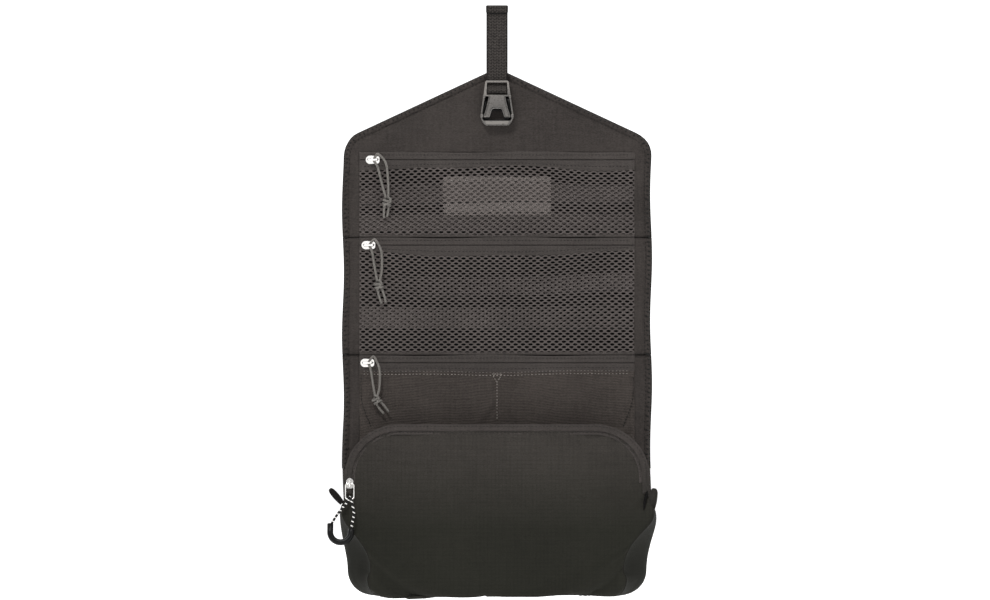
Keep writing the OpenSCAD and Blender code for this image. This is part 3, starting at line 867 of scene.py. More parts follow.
def mesh_pocket(n):
    """A mesh pocket front, its doubled bands behind, and the hem at its foot."""
    body = body_names[n]
    x0, x1 = -pocket_half + 0.2, pocket_half - 0.2
    z0 = pocket_feet[n] + 1.2
    z1 = cad(f"zip_tape_{n + 1}")[0][2] + 0.6
    depth = cloth_field(x0, x1, z0, z1, 0.6)

    def place(x, z):
        up = (z - z0) / (z1 - z0)
        wave = pocket_wave(x, n) * smooth(up) + 0.8 * sin(x / 60 + n) * sin(pi * up)
        return at(x, tape_y + 0.1 + depth(x, z) - 0.25 * ripple(x, z, 22), z + wave)

    def place_behind(x, z):
        return place(x, z + 0.6 * hole_row) + (0, 0.9, -0.6 * hole_row)

    add(f"pocket_net_{n + 1}", net(x0, x1, z0, z1, place, 0.35), mesh_yarn, body,
        (f"mesh_pocket_{n + 1}",))
    bands, hems_and_shade = [], []
    x = span(x0 + 1, x1 - 1, 120)
    for k, (drop, tall) in enumerate(net_bands[n]):
        low = pocket_tops[n] - drop - tall
        bands.append(net(x0 + 1, x1 - 1, low, low + tall, place_behind, 0.3, hole_pitch / 4))
        lean = 2.5 * x / pocket_half * (1 if k == 0 else -0.4) * n
        # Dark tubes along each band's edges: hems, the lower one thick and dark as painted shade along that
        # edge.
        for edge, size in ((low, 0.42), (low + tall, 0.2)):
            hems_and_shade.append(tube(place_behind(x, edge + lean) + (0, -0.35, 0), size, 6))
    add(f"net_bands_{n + 1}", merged(bands), mesh_yarn, body, (f"mesh_strips_{n + 1}",))
    add(f"net_band_hems_and_shade_{n + 1}", merged(hems_and_shade), dark_thread, body)
    x, v = meshgrid(span(x0, x1, 160), span(0, 1, 7))
    front = at(x, tape_y - 0.25 * dome(minimum(v, 1 - v), 0.3) + 0.5 * (1 - v), z0 - 1.0 + 2.6 * v)
    add(f"pocket_hem_{n + 1}", slab(front, 0.8), tape_cloth, body)


mesh_pocket(0)
mesh_pocket(1)


def blank_label():
    """A plain label sewn behind the first net."""
    low, high = cad("label_patch")
    x, z = meshgrid(span(low[0], high[0], 52), span(low[2], high[2], 20))
    edge = minimum(minimum(x - low[0], high[0] - x), minimum(z - low[2], high[2] - z))
    y = high[1] - 0.7 * dome(edge, 1.2) - 0.08 * ripple(x, z, 9)
    add("blank_label", closed_sheet(at(x, y, z), at(x, high[1], z)), label_cloth, "upper_panel",
        ("label_patch",))


blank_label()


def fabric_pocket():
    """The ribbed pocket above the pouch, with its curved side seams, divider and stitching."""
    n = 2
    top = cad("zip_tape_3")[0][2] + 0.4
    foot = pouch_top - 18
    rows = span(foot, top, 30)
    side = pocket_half - 13 * smooth((top - 22 - rows) / (top - 22 - foot))
    x, z = panel_grid(rows, np.full_like(rows, pocket_half - 0.2), 130)
    soft = relax_cloth(at(x, tape_y + 0.2, z), 2.2, 18, 0.015, 0.6, hold_middle=True)
    seam_gap = abs(side[:, None] - abs(x))
    y = minimum(soft[..., 1], tape_y + 0.5) + 0.7 * (1 - dome(seam_gap, 2.5)) - 0.35 * ripple(x, z, 26)
    y = y + 0.9 * bell(x, 1.3) * smooth((zip_z[n] - 14 - z) / 4)
    front = at(x, y, z + pocket_wave(x, n) * smooth((z - foot) / (top - foot)))
    add("pocket_fabric_3", slab(front, 0.7), ribbed_cloth, "pouch", ("pocket_3_front",))
    (_, _, z_low), (_, _, z_high) = cad("divider_seam")
    seam_y = tape_y + 0.25
    triangle = [(-4.6, seam_y - 0.5, z_high), (4.6, seam_y - 0.5, z_high), (0, seam_y - 0.3, z_high - 8),
                (-4.6, seam_y - 0.5, z_high)]
    parts = [stitch_line([(0, seam_y, z_high - 9), (0, seam_y, z_low)], 2.4, 0.5, 0.5),
             stitch_line(triangle, 2.0, 0.4, 0.5)]
    x = span(-pocket_half + 4, pocket_half - 4, 140)
    for offset, size in ((0.5, 0.22), (3.2, 0.42)):
        parts.append(stitch_line(at(x, tape_y - 0.35, top - offset + pocket_wave(x, n)), 2.1, 1.2, size))
    z = rows[rows < top - 1]
    side_seams = [stitch_line(at(sign * (interp(z, rows, side) - 1.6), tape_y + 0.1, z), 2.6, 0.7, 0.4)
                  for sign in (-1, 1)]
    add("pocket_side_seams", merged(side_seams), dark_thread, "pouch")
    add("pocket_stitching_3", merged(parts), thread, "pouch", ("divider_seam",))


fabric_pocket()


# ---------- pouch ----------

def arch_half(v, inset):
    """Half width of the arch at a height up the slope."""
    r = arch_r - inset
    return arch_x + r * sqrt(1 - clip((v - arch_v) / r, 0, 1)**2)


zip_inset = 2.5
door_inset = zip_inset + 0.3
foot_r = 23
foot_taper = 7.5
foot_roll = 17
widest_drop = 22


def side_half(z):
    """Half width of the pouch below the fold: it flares, tapers, then rounds in at its foot."""
    drop = hinge_z - z
    flare = arch_end + (pouch_half - arch_end) * smooth(drop / widest_drop)
    low = clip((base_z + foot_r - z) / foot_r, 0, 1)
    return flare - foot_taper * smooth((drop - widest_drop) / 52) - foot_r * (1 - sqrt(1 - low**2))


def front_y_at(z):
    """Y of the pouch's lower front at a height: it swells forward, then rolls under at its foot."""
    swell = hinge_y + (cad("pouch_front")[0][1] - hinge_y) * smooth((hinge_z - z) / 46)
    under = clip((base_z + foot_roll - z) / foot_roll, 0, 1)
    return swell + 15 * (1 - sqrt(1 - under**2))


def slope_y(z):
    """Y of the pouch's front edge at a height, on the slope or below the fold."""
    return np.where(z > hinge_z, hinge_y + (z - hinge_z) * math.tan(tilt), front_y_at(z))


def rim_path():
    """The pouch's outline from the middle of its foot, up the right side to the middle of its top."""
    a = np.radians(span(0, 90, 14))
    corner = stack([pouch_half - foot_taper - foot_r * (1 - sin(a)), base_z + foot_r * (1 - cos(a))], -1)
    z = span(base_z + foot_r + 3, hinge_z, 24)
    side = stack([side_half(z), z], -1)
    top = stack([arch_x + arch_r * cos(a), hinge_z + (arch_v + arch_r * sin(a)) * cos(tilt)], -1)
    return resample(joined([[[0.0, base_z]], corner, side, top, [[0.0, top[-1][1]]]]), 3.0)


def foot_dip(x):
    """How far the pouch's foot hangs down at its two bulging corners."""
    return 2.4 * bell(x + 98, 13) + 1.5 * bell(x - 103, 15)


def pouch_shell():
    """Rows of points round the pouch's sides from the panel to its front edge, and the outward direction."""
    right = rim_path()
    loop = joined([right, right[-2:0:-1] * (-1, 1)])
    loop[:, 0] += 2.2 * bell(loop[:, 1] - hinge_z + 28, 15) * (loop[:, 0] > 0)
    ahead = unit(np.roll(loop, -1, 0) - np.roll(loop, 1, 0))
    out_x, out_z = ahead[:, 1], -ahead[:, 0]
    x, z = loop.T
    z = z - smooth((base_z + 12 - z) / 12) * foot_dip(x)
    draw_in = smooth((hinge_z - 8 - z) / 62) * (20 * abs(out_x) ** 0.6 + 2.0)
    at_panel = clip(x, 1.0 - half_w, half_w - 1.0)
    rows = []
    for t in span(0, 1, 26):
        across = at_panel + (x - at_panel) * smooth(t / 0.35)
        bulge = 1.2 * sin(pi * t) * smooth((hinge_z + 20 - z) / 60)
        crease = 0.4 * sin(pi * t) ** 0.7 * ripple(t * 70, z + x * 0.5, 15)
        tuck = -0.4 * bell(t - 0.55, 0.05) * smooth((base_z + 34 - z) / 20)
        move = bulge - draw_in * smooth((t - 0.3) / 0.7) + (crease + tuck) * smooth((hinge_z + 40 - z) / 40)
        up = z + out_z * move
        rows.append(at(across + out_x * move, (lining_y - 0.3) * (1 - t) + (slope_y(up) + 0.9) * t, up))
    return array(rows), at(out_x, 0, out_z)


shell_rows, shell_out = pouch_shell()
front_loop = shell_rows[-1]


def pouch_sides():
    """Side, top and foot of the pouch: soft creased cloth round an open hollow."""
    outer = joined([shell_rows, shell_rows[:, :1]], 1)
    inner = shell_rows - 1.3 * shell_out
    add("pouch_sides", closed_sheet(outer, joined([inner, inner[:, :1]], 1)), shaded_sides_cloth,
        "pouch", ("pouch_gusset", "pouch_lining"))


def front_half(sign, z):
    """Distance of the front seam from the middle, on one side, at a height below the fold."""
    side = front_loop[(front_loop[:, 0] * sign > 0.5) & (front_loop[:, 2] < hinge_z + 2)]
    side = side[np.argsort(side[:, 2])]
    return interp(z, side[:, 2], side[:, 0] * sign)


def face_surface():
    """The pouch's front from its foot to the door's top, as rows of points."""
    foot = front_loop[abs(front_loop[:, 0]) < 30, 2].min() + 0.4
    roll = foot + foot_roll - foot_roll * sin(span(pi / 2, 0, 9))
    low_edge = front_loop[front_loop[:, 2] < base_z + 12]
    low_edge = low_edge[np.argsort(low_edge[:, 0])]
    s = across_steps(130, 0.3)
    rows = []
    for z in joined([roll, span(foot + foot_roll + 2, hinge_z - 1.0, 34)]):
        x = s * np.where(s > 0, front_half(1, z), front_half(-1, z))
        hang = foot - interp(x, low_edge[:, 0], low_edge[:, 2])
        rows.append(at(x, front_y_at(z), z - clip(hang, 0, 5) * smooth((foot + 12 - z) / 12)))
    bend = arch_v + (arch_r - door_inset) * sin(np.radians(span(6, 90, 22)))
    for v in joined([span(0.8, arch_v, 7), bend]):
        rows.append(in_slope(arch_half(v, door_inset) * s, 0.0, v))
    return array(rows)


def pouch_face():
    """Lower front and door in one soft piece."""
    soft = relax_cloth(face_surface(), 5.0, 20, 0.012, 1.2)
    x, z = soft[..., 0], soft[..., 2]
    edge = minimum(abs(abs(x) - abs(x[:, -1:])), 30)
    edge = minimum(edge, np.linalg.norm(soft - soft[-1:], axis=2))
    soft[..., 1] += 0.8 * ripple(x, z, 30) * smooth(edge / 10) + 1.9 * (1 - dome(edge, 5.0))
    obj = add("pouch_face", thick(soft, 1.2), pouch_cloth, None,
              ("pouch_front", "pouch_door"))
    bend(obj, "pouch", "door", hinge_z - 6.0, hinge_z + 2.0, hinge_y)


def pouch_piping():
    """The piped seam round the lower front, from the fold on the left to the fold on the right."""
    below_fold = np.flatnonzero(front_loop[:, 2] < hinge_z - 3)
    half = len(front_loop) // 2
    seam = joined([front_loop[below_fold[below_fold >= half]], front_loop[below_fold[below_fold < half]]])
    add("pouch_piping", tube(resample(seam, 2.5) + (0, 1.0, 0), 0.4), shaded_sides_cloth, "pouch")


pouch_sides()
pouch_face()
pouch_piping()


def arch_line(inset, low):
    """Points (x, v) up the left side of the arch, over its top and down its right side."""
    left = arc(-arch_x, arch_v, arch_r - inset, 180, 90, 21)
    left = joined([[[-(arch_x + arch_r - inset), low]], left])
    return resample(joined([left, left[::-1] * (-1, 1)]), 2.0)


def arch_strip(name, inset0, inset1, low, crown, out, material, body, replaces):
    """A strip of tape that follows the arch between two insets."""
    lines = [arch_line(inset, low) for inset in (inset0, inset1)]
    where = span(0, 1, min(len(p) for p in lines))
    first, second = [stack([interp(where, span(0, 1, len(p)), p[:, k]) for k in (0, 1)], -1)
                     for p in lines]
    front, back = [], []
    for t in span(0, 1, 9):
        x, v = (first * (1 - t) + second * t).T
        front.append(in_slope(x, out + crown * dome(min(t, 1 - t), 0.45) + 0.12 * ripple(x, v, 6), v))
        back.append(in_slope(x, out - 0.7, v))
    add(name, closed_sheet(array(front), array(back)), material, body, (replaces,))


def main_coil(name, inset, body, replaces, low):
    """One row of coil along the arch."""
    step, pitch = 0.25, 1.6
    line = resample(arch_line(inset, low), step)
    turn = TAU * np.arange(len(line)) * step / pitch
    x, v = (line + left_of(line) * (0.45 * cos(turn))[:, None]).T
    add(name, tube(in_slope(x, -1.0 + 0.3 * sin(turn), v), 0.2, 4), coil_plastic, body, (replaces,))


def arch_stitching(name, inset, low, out, body):
    """A row of stitches along the arch."""
    x, v = arch_line(inset, low).T
    add(name, stitch_line(in_slope(x, out, v), 2.2, 1.3), dark_thread, body)


arch_strip("main_zip_cover", -1.8, zip_inset + 2.6, -1.5, 0.75, -0.1, band_cloth, "pouch", "outer_zip_tape")
arch_strip("main_zip_tape", zip_inset + 0.5, 7.9, arch_v - 6, 0.1, -1.3, tape_cloth, "door", "inner_zip_tape")
main_coil("main_coil_outer", zip_inset - 1.0, "pouch", "outer_zip_coil", 1.0)
main_coil("main_coil_inner", zip_inset + 1.0, "door", "inner_zip_coil", arch_v - 5)
arch_stitching("arch_stitching_outer", 0.6, 2, 0.85, "pouch")
arch_stitching("arch_stitching_door", 6.6, 12, 0.0, "door")


def end_tab(side, foot, head, width, curl, material):
    """A folded fabric tab at an end of the main zip: a curled leaf from its foot up to its free end."""
    foot, head = array(foot, float), array(head, float)
    across = np.cross((0, 1, 0), unit(head - foot))
    s = span(-1, 1, 13)
    front = []
    for k in span(0, 1, 18):
        w = width * (0.75 + 0.25 * sin(pi * k)) * dome(1.03 - k, 0.22)
        curve = curl * s**2 + 0.8 * sin(2.5 * k) - 0.3 * dome(1 - abs(s), 0.4)
        front.append(foot * (1 - k) + head * k + np.outer(s * w, across) + at(0, curve, 0))
    add(f"zip_end_tab_{side}", slab(array(front), 1.3), material, "pouch", (f"tab_{side}",))


tab_y = hinge_y + 2.5
end_tab("left", (-144.2, tab_y, hinge_z - 10.5), (-155.8, tab_y - 1, hinge_z + 3.0), 3.1, -0.6, near_black_cloth)
end_tab("right", (143.2, tab_y, hinge_z - 18), (146.6, tab_y - 1.5, hinge_z + 3.5), 4.2, -2.2, band_cloth)
# Painted shade: a dark lining-coloured piece in the gap at the right end of the main zip.
shade_patch = spline([(2.4, 9), (1.0, 0), (-1.6, -9), (-1.8, -1), (0.2, 7)], 6, closed=True)
shade_patch = outline_solid(shade_patch + (arch_end - 2.2, hinge_z - 8), [], hinge_y - 1.5, hinge_y + 0.6)
add("zip_end_shade_patch_right", shade_patch, lining_cloth, "pouch")


# ---------- strap ----------

def strip(path, width, thickness):
    """Webbing along a path in Y and Z, with rounded selvedges."""
    path = resample(path, 1.0)
    s = span(-1, 1, 15)
    half = thickness / 2 * (0.35 + 0.65 * dome(1 - abs(s), 0.09))
    y, z = path.T[:, :, None]
    out_y, out_z = left_of(path).T[:, :, None]
    front, back = [at(width / 2 * s, y + sign * out_y * half, z + sign * out_z * half) for sign in (1, -1)]
    return closed_sheet(front, back)


strap_low, strap_high = cad("hanging_strap")
strap_w = strap_high[0] - strap_low[0]
strap_t = cad("strap_anchor")[1][1] - cad("strap_anchor")[0][1]
run_y = (strap_high[1] - strap_low[1]) / 2 - strap_t / 2
swing_at = joint("hook_swing")[0]
flex_z = joint("strap_flex")[0][2]
run_in_y = swing_at[1] + 0.7
tail_in_y = swing_at[1] - 0.8
tail_y = -run_y - strap_t - 0.2
hook_low, hook_high = cad("hook_frame")
hook_top = hook_high[2]
bar_y = (hook_low[1] + hook_high[1]) / 2
bar_z = hook_top - 9.4
bar_r = 1.2
turn_r = bar_r + 0.25 + strap_t / 2
loop_split = -20.0
swing_split = swing_at[2] + 8


def strap_piece(name, path, body=None, replaces=(), wider=0.0, thicker=0.0):
    """A piece of the strap's webbing, along a path in Y and Z."""
    return add(name, strip(path, strap_w + wider, strap_t + thicker), webbing, body, replaces)


back_strap = strap_piece("strap_back", [(run_y, loop_split), (run_y, cad("strap_anchor")[0][2])], None,
                         ("strap_anchor",))
bend(back_strap, "strap", "upper_panel", flex_z + 5, flex_z - 5)
loop_path = joined([[(run_y, loop_split)], arc(0, 0, run_y, 0, 180, 20), [(run_in_y, swing_split)]])
strap_piece("strap_loop", loop_path, "strap", ("hanging_strap",))
strap_piece("strap_end", [(tail_in_y, swing_split), (tail_y, -6), (tail_y, 2.4)], "strap", ("strap_tail",))
strap_piece("strap_stop", joined([[(tail_y - 0.3, -0.6)], arc(tail_y - 1.4, 4.0, 1.1, 0, 180, 8),
                                  [(tail_y - 2.5, -1.1)]]), "strap", (), 0.7, 0.3)
turn_path = joined([[(run_in_y, swing_split), (run_in_y, bar_z + 4.6), (bar_y + turn_r, bar_z + 1)],
                    arc(bar_y, bar_z, turn_r, 0, -180, 12),
                    [(bar_y - turn_r, bar_z + 0.9), (tail_in_y + 0.1, bar_z + 5.6),
                     (tail_in_y, swing_split)]])
turn = strap_piece("strap_hook_turn", turn_path, None, ("strap_turn",), -0.4)
bend(turn, "strap", "hook", swing_at[2] + 4, swing_at[2] - 3)

stop_y = tail_y - 2.5 - strap_t / 2 - 0.2
stop_rows = [stitch_line([(-8.5, stop_y, z), (8.5, stop_y, z)], 1.7, 0.8, 0.3) for z in (0.2, 3.2)]
# Painted shade: a dark tube along the gap under the folded stop, beside the real stitch rows.
stop_shade_line = resample([(-half_strap, tail_y - 0.9, -1.9), (half_strap, tail_y - 0.9, -1.9)], 1.5)
add("stop_stitches_and_shade", merged(stop_rows + [tube(stop_shade_line, 0.6)]), dark_thread, "strap",
    ("stop_stitching",))

(x0, box_y, z0), (x1, _, z1) = cad("anchor_stitching")
box_lines = ([(x0, z0), (x1, z0), (x1, z1), (x0, z1), (x0, z0)], [(x0, z0), (x1, z1)], [(x0, z1), (x1, z0)])
add("anchor_thread", merged([stitch_line([(x, box_y + 0.1, z) for x, z in line], 1.8, 0.6, 0.28)
                             for line in box_lines]), thread, "upper_panel", ("anchor_stitching",))

(_, _, foot), (_, keeper_out, top) = cad("keeper_loop")
near, far = back_y + 0.62, keeper_out - 0.6
keeper_path = spline([(near, top), (near, top - 4.5), (far, top - 9), (far + 0.2, (foot + top) / 2),
                      (far, foot + 9), (near, foot + 4.5), (near, foot)])
strap_piece("keeper_webbing", keeper_path, "upper_panel", ("keeper_loop",))


# ---------- hook ----------

top_half = strap_w / 2 + 1.0
wide_half = 15.5


def hook_plate(points):
    """A symmetrical outline from its right side, given as half widths and drops below the hook's top."""
    right = array([(x, hook_top - drop) for x, drop in points])
    return joined([right, right[::-1] * (-1, 1)])


hook_rim = hook_plate([(top_half - 1.2, 0), (top_half, 1.2), (12.8, 14.4), (wide_half, 32.6),
                       (wide_half, 34.8), (13.6, 39.0), (11.4, 41.8), (10.2, 42.4)])
windows = [hook_plate([(9.5, 1.9), (9.9, 13.6)]),
           hook_plate([(11.4, 15.0), (wide_half - 1.2, 33.4), (13.8, 35.8), (12.6, 37.9)])]
bar = resample([(-strap_w / 2 - 0.8, bar_y, bar_z), (strap_w / 2 + 0.8, bar_y, bar_z)], 1.5)
foot_rib = hook_plate([(11.0, 38.2), (10.6, 41.4)])
hook_parts = [outline_solid(hook_rim, windows, hook_low[1], hook_high[1]), tube(bar, bar_r, 14),
              outline_solid(foot_rib, [], hook_low[1] - 0.5, hook_low[1] + 0.6)]
for x, drop, size in ((12.2, 15.0, 1.1), (wide_half - 1.2, 33.4, 1.3)):
    for side in (-1, 1):
        lug = rounded_box(-size, size, -size, size, 0.5) + (side * x, hook_top - drop)
        hook_parts.append(outline_solid(lug, [], hook_low[1] - 0.7, hook_low[1] + 1.0))
bevelled(add("hook_body", merged(hook_parts), plastic, "hook", ("hook_frame",)), 0.7)

gate_low, gate_high = cad("hook_gate")
# Painted shade: a black sheet in the rubber material at the back of the hook's windows, where there is deep
# shade, with a hole at the mouth.
mouth = hook_plate([(3.4, 28.4), (4.6, 30.0), (6.4, 35.4), (6.6, 36.8)])
shade_backing_edge = hook_plate([(3.4, 27.2), (4.3, 27.8), (6.5, 33.5), (6.9, 34.75), (12.55, 34.75), (12.45, 32.35),
                         (9.2, 20.95), (7.9, 14.6), (12.1, 14.6), (wide_half - 0.6, 32.8),
                         (wide_half - 0.8, 35.0), (12.6, 39.4)])
shade_backing = outline_solid(shade_backing_edge, [mouth], gate_high[1] + 0.05, hook_high[1])
add("hook_shade_backing", shade_backing, rubber, "hook")

gate_line = hook_plate([(7.4, 13.9), (8.8, 21.0), (12.3, 32.4), (12.4, 34.6), (7.0, 34.6), (6.6, 33.4),
                        (4.5, 27.6), (3.6, 26.6)])
gate_front = hook_plate([(6.4, 14.6), (7.5, 21.4), (10.8, 32.6), (10.7, 33.8), (8.0, 33.8), (5.8, 27.4),
                         (4.6, 25.5)])
fork = hook_plate([(7.2, 33.8), (5.2, 27.6), (4.2, 26.3)])
gate_rim = resample([(x, gate_low[1] - 0.55, z) for x, z in fork], 1.2)
gate_parts = [outline_solid(gate_line, [], gate_low[1] + 0.1, gate_high[1]),
              outline_solid(gate_front, [], gate_low[1] - 0.7, gate_low[1] + 0.3), tube(gate_rim, 0.6)]
for side in (-1, 1):
    ridge = [(side * x, gate_low[1] - 0.2, hook_top - drop)
             for x, drop in ((7.1, 14.4), (8.4, 21.2), (11.6, 33.2))]
    gate_parts.append(tube(resample(ridge, 1.5), 0.62))
bevelled(add("hook_gate_plate", merged(gate_parts), plastic, "gate", ("hook_gate",)), 0.35)


# ---------- sliders and pulls ----------

def pocket_slider(n):
    """Cast slider of a pocket zip, with the bridge that holds its cord."""
    low, high = cad(f"zip_slider_{n + 1}")
    middle = (slider_at[n], zip_z[n])
    face = tape_y - 0.2
    nose = joined([arc(-2.8, 0, 3.9, 90, 270, 12), arc(4.0, -1.3, 2.2, -90, 0, 5),
                   arc(4.0, 1.3, 2.2, 0, 90, 5)])
    post = rounded_box(-1.8, 1.2, -0.28, 0.28, 0.2)
    a = np.radians(span(0, 180, 15))
    bridge = at(middle[0] + 4.6 * cos(a), face - 0.7 - (face - 1.0 - low[1]) * sin(a) ** 0.6, middle[1])
    parts = [outline_solid(nose + middle, [], face - 1.0, face),
             outline_solid(nose * 0.9 + middle, [], high[1] - 0.8, high[1]),
             outline_solid(post + middle, [], face - 0.5, high[1] - 0.4), tube(bridge, 0.85, 10, flat=1.5)]
    bevelled(add(f"slider_{n + 1}", merged(parts), steel, f"slider_{n + 1}",
                 (f"zip_slider_{n + 1}",)), 0.35)


pin_y = joint("pull_1_swing")[0][1]
cord_r = 1.15
loop_shapes = (
    ((13.4, -39.4), (5.5, 5.0), (12.5, -4.0), (14.6, -24.0), (10.5, -55.0), (13.4, -54.0)),
    ((9.2, -37.2), (6.5, 5.0), (12.0, -6.0), (12.4, -24.0), (12.3, -55.2), (16.4, -54.2)),
    ((8.2, -34.6), (6.5, 5.5), (11.3, -6.0), (11.4, -22.0), (15.4, -48.0), (20.0, -46.3)),
)


def pull_cord(n):
    """Looped cord through the bridge, tied in an overhand knot, with two cut tails."""
    knot, top, right, low_right, tail_a, tail_b = loop_shapes[n]
    pin = (slider_at[n], 0, zip_z[n])
    out = pin_y - 1.2
    line = spline([(knot[0] - 1.0, out, knot[1] + 3), (knot[0] * 0.62, out + 0.4, knot[1] * 0.55),
                   (knot[0] * 0.3 + 0.6, out + 0.2, knot[1] * 0.18), (1.2, pin_y + 0.3, -1.5),
                   (1.0, pin_y + 1.1, 0.4), (top[0] * 0.55, out + 0.3, top[1] * 0.8),
                   (top[0], out - 0.4, top[1]), (right[0], out - 0.2, right[1]),
                   (low_right[0], out + 0.3, low_right[1]), (knot[0] + 1.0, out, knot[1] + 3)])
    first, last = np.flatnonzero(line[:, 2] > 0.2)[[0, -1]]
    k = array([knot[0], out, knot[1]])
    lean = unit(array([tail_a[0] + tail_b[0], 0, tail_a[1] + tail_b[1]]) / 2 - (knot[0], 0, knot[1]))
    side = np.cross(lean, (0, 1, 0))
    t = span(0, 1, 46)
    wrap = k + np.outer(6.8 * (t - 0.42), lean) + np.outer(3.3 * cos(TAU * 2.1 * t), side) \
        + np.outer(2.6 * sin(TAU * 2.1 * t), (0, 1, 0))
    cross = spline([k - lean * 4 + side * 1.6, k + side * 3.0 + (0, -1.6, 0),
                    k + lean * 3 - side * 1.4 + (0, -2.0, 0), k + lean * 5.5 - side * 2.4])
    runs = [line[:first + 1], line[last:], wrap, cross]
    for tail, offset in ((tail_a, -1.2), (tail_b, 1.2)):
        start, end = k + side * offset, array([tail[0], out + 0.6, tail[1]])
        runs.append(spline([start, (start + end) / 2 + side * offset * 0.6, end]))
    body = f"pull_{n + 1}"
    add(f"cord_{body}", merged([tube(run + pin, cord_r, 10) for run in runs]), cord, body,
        (f"pull_cord_{n + 1}",))
    bight = add(f"cord_bight_{n + 1}", tube(line[first:last + 1] + pin, cord_r, 10), cord, body)
    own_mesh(bight)


for n in range(3):
    pocket_slider(n)
    pull_cord(n)

slider_v = (pull_at[2] - hinge_z - 2.15 * sin(tilt)) / cos(tilt)


def on_slope(points):
    """Points drawn about the main slider, moved onto the pouch's slope."""
    return in_slope(points[:, 0] + pull_at[0], -points[:, 1], points[:, 2] + slider_v)


def main_slider():
    """Cast slider of the main zip, with the bridge that holds its pull."""
    nose = joined([arc(0, 2.0, 3.3, 0, 180, 12), arc(-1.4, -3.0, 1.7, 180, 270, 5),
                   arc(1.4, -3.0, 1.7, 270, 360, 5)])
    a = np.radians(span(0, 180, 15))
    parts = [outline_solid(nose, [], -1.5, -0.6, on_slope), outline_solid(nose * 0.8, [], 1.5, 1.9, on_slope),
             outline_solid(rounded_box(-0.26, 0.26, -1.5, 1.5, 0.2), [], -0.9, 1.7, on_slope),
             tube(on_slope(at(0.0, -1.2 - 2.8 * sin(a) ** 0.6, 2.9 * cos(a))), 0.75, 10)]
    obj = add("main_slider_body", merged(parts), steel, "main_slider", ("main_zip_slider",))
    bevelled(obj, 0.3)


main_slider()
lean = math.radians(18)


def in_pull(x, out, z):
    """A point of the main pull: across, outward from it, and up it from its upper wire."""
    y = -out * cos(lean) + z * sin(lean)
    return at(x, y, out * sin(lean) + z * cos(lean)) + pull_at


def main_pull():
    """Wire loop, doubled cord and curved rubber grip of the main zip."""
    wire_w, wire_l = 3.9, 15.0
    low, high = cad("main_pull_tube")
    grip_x = (low[0] + high[0]) / 2 - pull_at[0]
    grip_top = -wire_l - 30
    x, z = rounded_box(-wire_w, wire_w, -wire_l, 0, 2.2).T
    add("main_pull_bail", tube(in_pull(x, 0.0, z), 0.58, 10, closed=True), steel, "main_pull",
        ("pull_bail",))
    strands = [spline([(0.6 * sign, 1.1, -wire_l + 1.0), (1.8 * sign, -0.2, -wire_l - 2.5),
                       (grip_x * 0.45 + 4.5 * sign + bow, 0.2, -wire_l - 14),
                       (grip_x + 10 * sign, 0, grip_top + 3), (grip_x + 10 * sign, 0, grip_top - 2)], 10)
               for sign, bow in ((-1, -2.5), (1, 3.2))]
    strands.append(spline([(-1.6, -0.4, -wire_l - 0.6), (0, 1.3, -wire_l + 1.2), (1.6, -0.4, -wire_l - 0.6)]))
    add("main_pull_strands", merged([tube(in_pull(*line.T), cord_r, 10) for line in strands]), black_cord,
        "main_pull", ("main_pull_cord",))
    bend = 9.7
    x, z = joined([[(grip_x - bend, grip_top + 6)], arc(grip_x, grip_top - 2, bend, 180, 360, 28),
                   [(grip_x + bend, grip_top + 1)]]).T
    add("main_pull_grip", tube(in_pull(x, 0.0, z), 2.9, 14), rubber, "main_pull", ("main_pull_tube",))


main_pull()


# ---------- floor, light and camera ----------

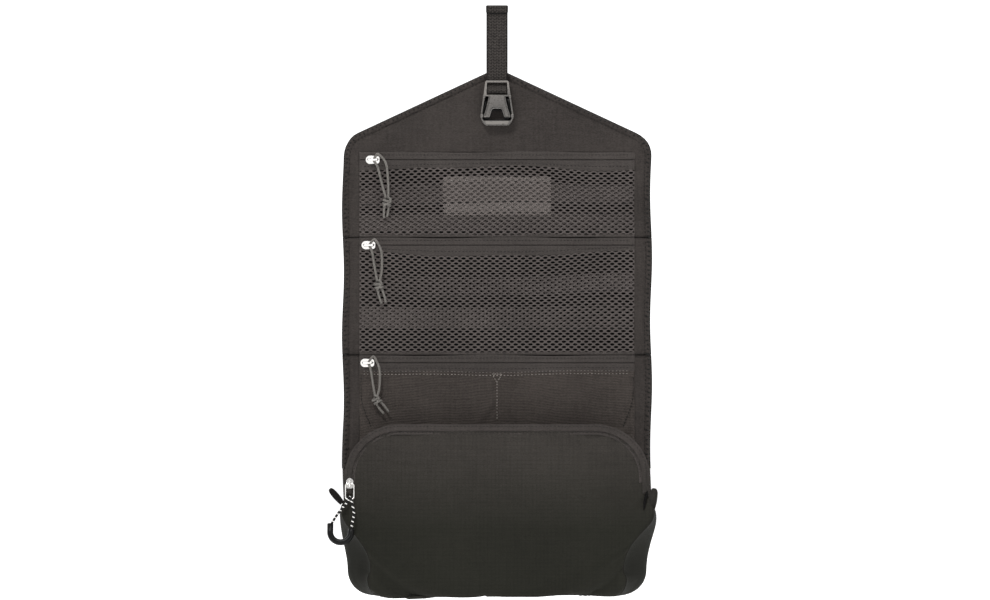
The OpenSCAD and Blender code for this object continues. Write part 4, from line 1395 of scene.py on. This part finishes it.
def backdrop():
    """Pale floor that can't be seen from underneath."""
    t = Tree(bpy.data.materials.new("backdrop"))
    below = t.nodes.new("ShaderNodeNewGeometry").outputs["Backfacing"]
    t.surface(Base_Color=t.mix(t.noise(3, 2), (0.92, 0.92, 0.92, 1), (0.95, 0.95, 0.95, 1)), Roughness=0.9,
              Emission_Color=(1, 1, 1, 1), Emission_Strength=0.7, Alpha=t.sub(1.0, below))
    reach = 9000
    x, y = meshgrid(span(-reach, reach, 12), span(-reach, reach, 12))
    _, quads = grid_quads(*x.shape)
    mesh = new_mesh("floor", at(x, y, base_z - 60).reshape(-1, 3), quads.tolist())
    mesh.materials.append(t.material)
    new_object("floor", mesh)


def studio():
    """White to the camera, soft grey to the cloth, and bright stripes where metal mirrors it."""
    world = bpy.data.worlds.new("studio")
    bpy.context.scene.world = world
    t = Tree(world)
    sky = t.nodes["Background"].inputs
    sky[0].default_value = (1, 1, 1, 1)
    across, _, up = t.split("Generated")
    stripes = t.size(t.math("COSINE", t.mul_add(up, 3.0, t.mul(across, 1.5))))
    rays = t.nodes.new("ShaderNodeLightPath").outputs
    mirrored = t.mul(t.mul_add(stripes, 0.95, -0.1), rays["Is Glossy Ray"])
    t.put(sky[1], t.add(t.add(mirrored, rays["Is Camera Ray"]), 0.34))


middle = Vector((0, 0, (seam_1 + seam_2) / 2 * MM))
view_width = 933.57


def softbox(name, place, size, power):
    """A soft rectangular lamp turned to the middle of the bag; its place and size are in metres."""
    lamp = bpy.data.lights.new(name, "AREA")
    lamp.shape = "RECTANGLE"
    lamp.size, lamp.size_y = size
    lamp.energy = power
    obj = new_object(name, lamp)
    obj.location = place
    obj.rotation_euler = (middle - Vector(place)).to_track_quat("-Z", "Y").to_euler()


def camera(width, middle_x, middle_z):
    """A long lens straight in front, which takes in a width of the scene at the bag."""
    data = bpy.data.cameras.new("camera")
    data.lens = 180
    data.sensor_width = 36
    data.clip_end = 40
    obj = new_object("camera", data)
    obj.location = (middle_x * MM, -width * MM * data.lens / data.sensor_width, middle_z * MM)
    obj.rotation_euler = (math.radians(90), 0, 0)
    bpy.context.scene.camera = obj


backdrop()
studio()
softbox("key", (-0.65, -1.65, 1.65), (0.65, 0.5), 48)
softbox("fill", (1.8, -1.6, 0.3), (1.2, 1.2), 8)
softbox("back", (0.8, 1.8, 0.9), (1.2, 1.0), 24)
softbox("top", (0.2, -0.5, 1.5), (1.0, 0.5), 9)
camera(view_width, -1.9, -271.7)
bpy.context.scene.view_settings.view_transform = "Standard"
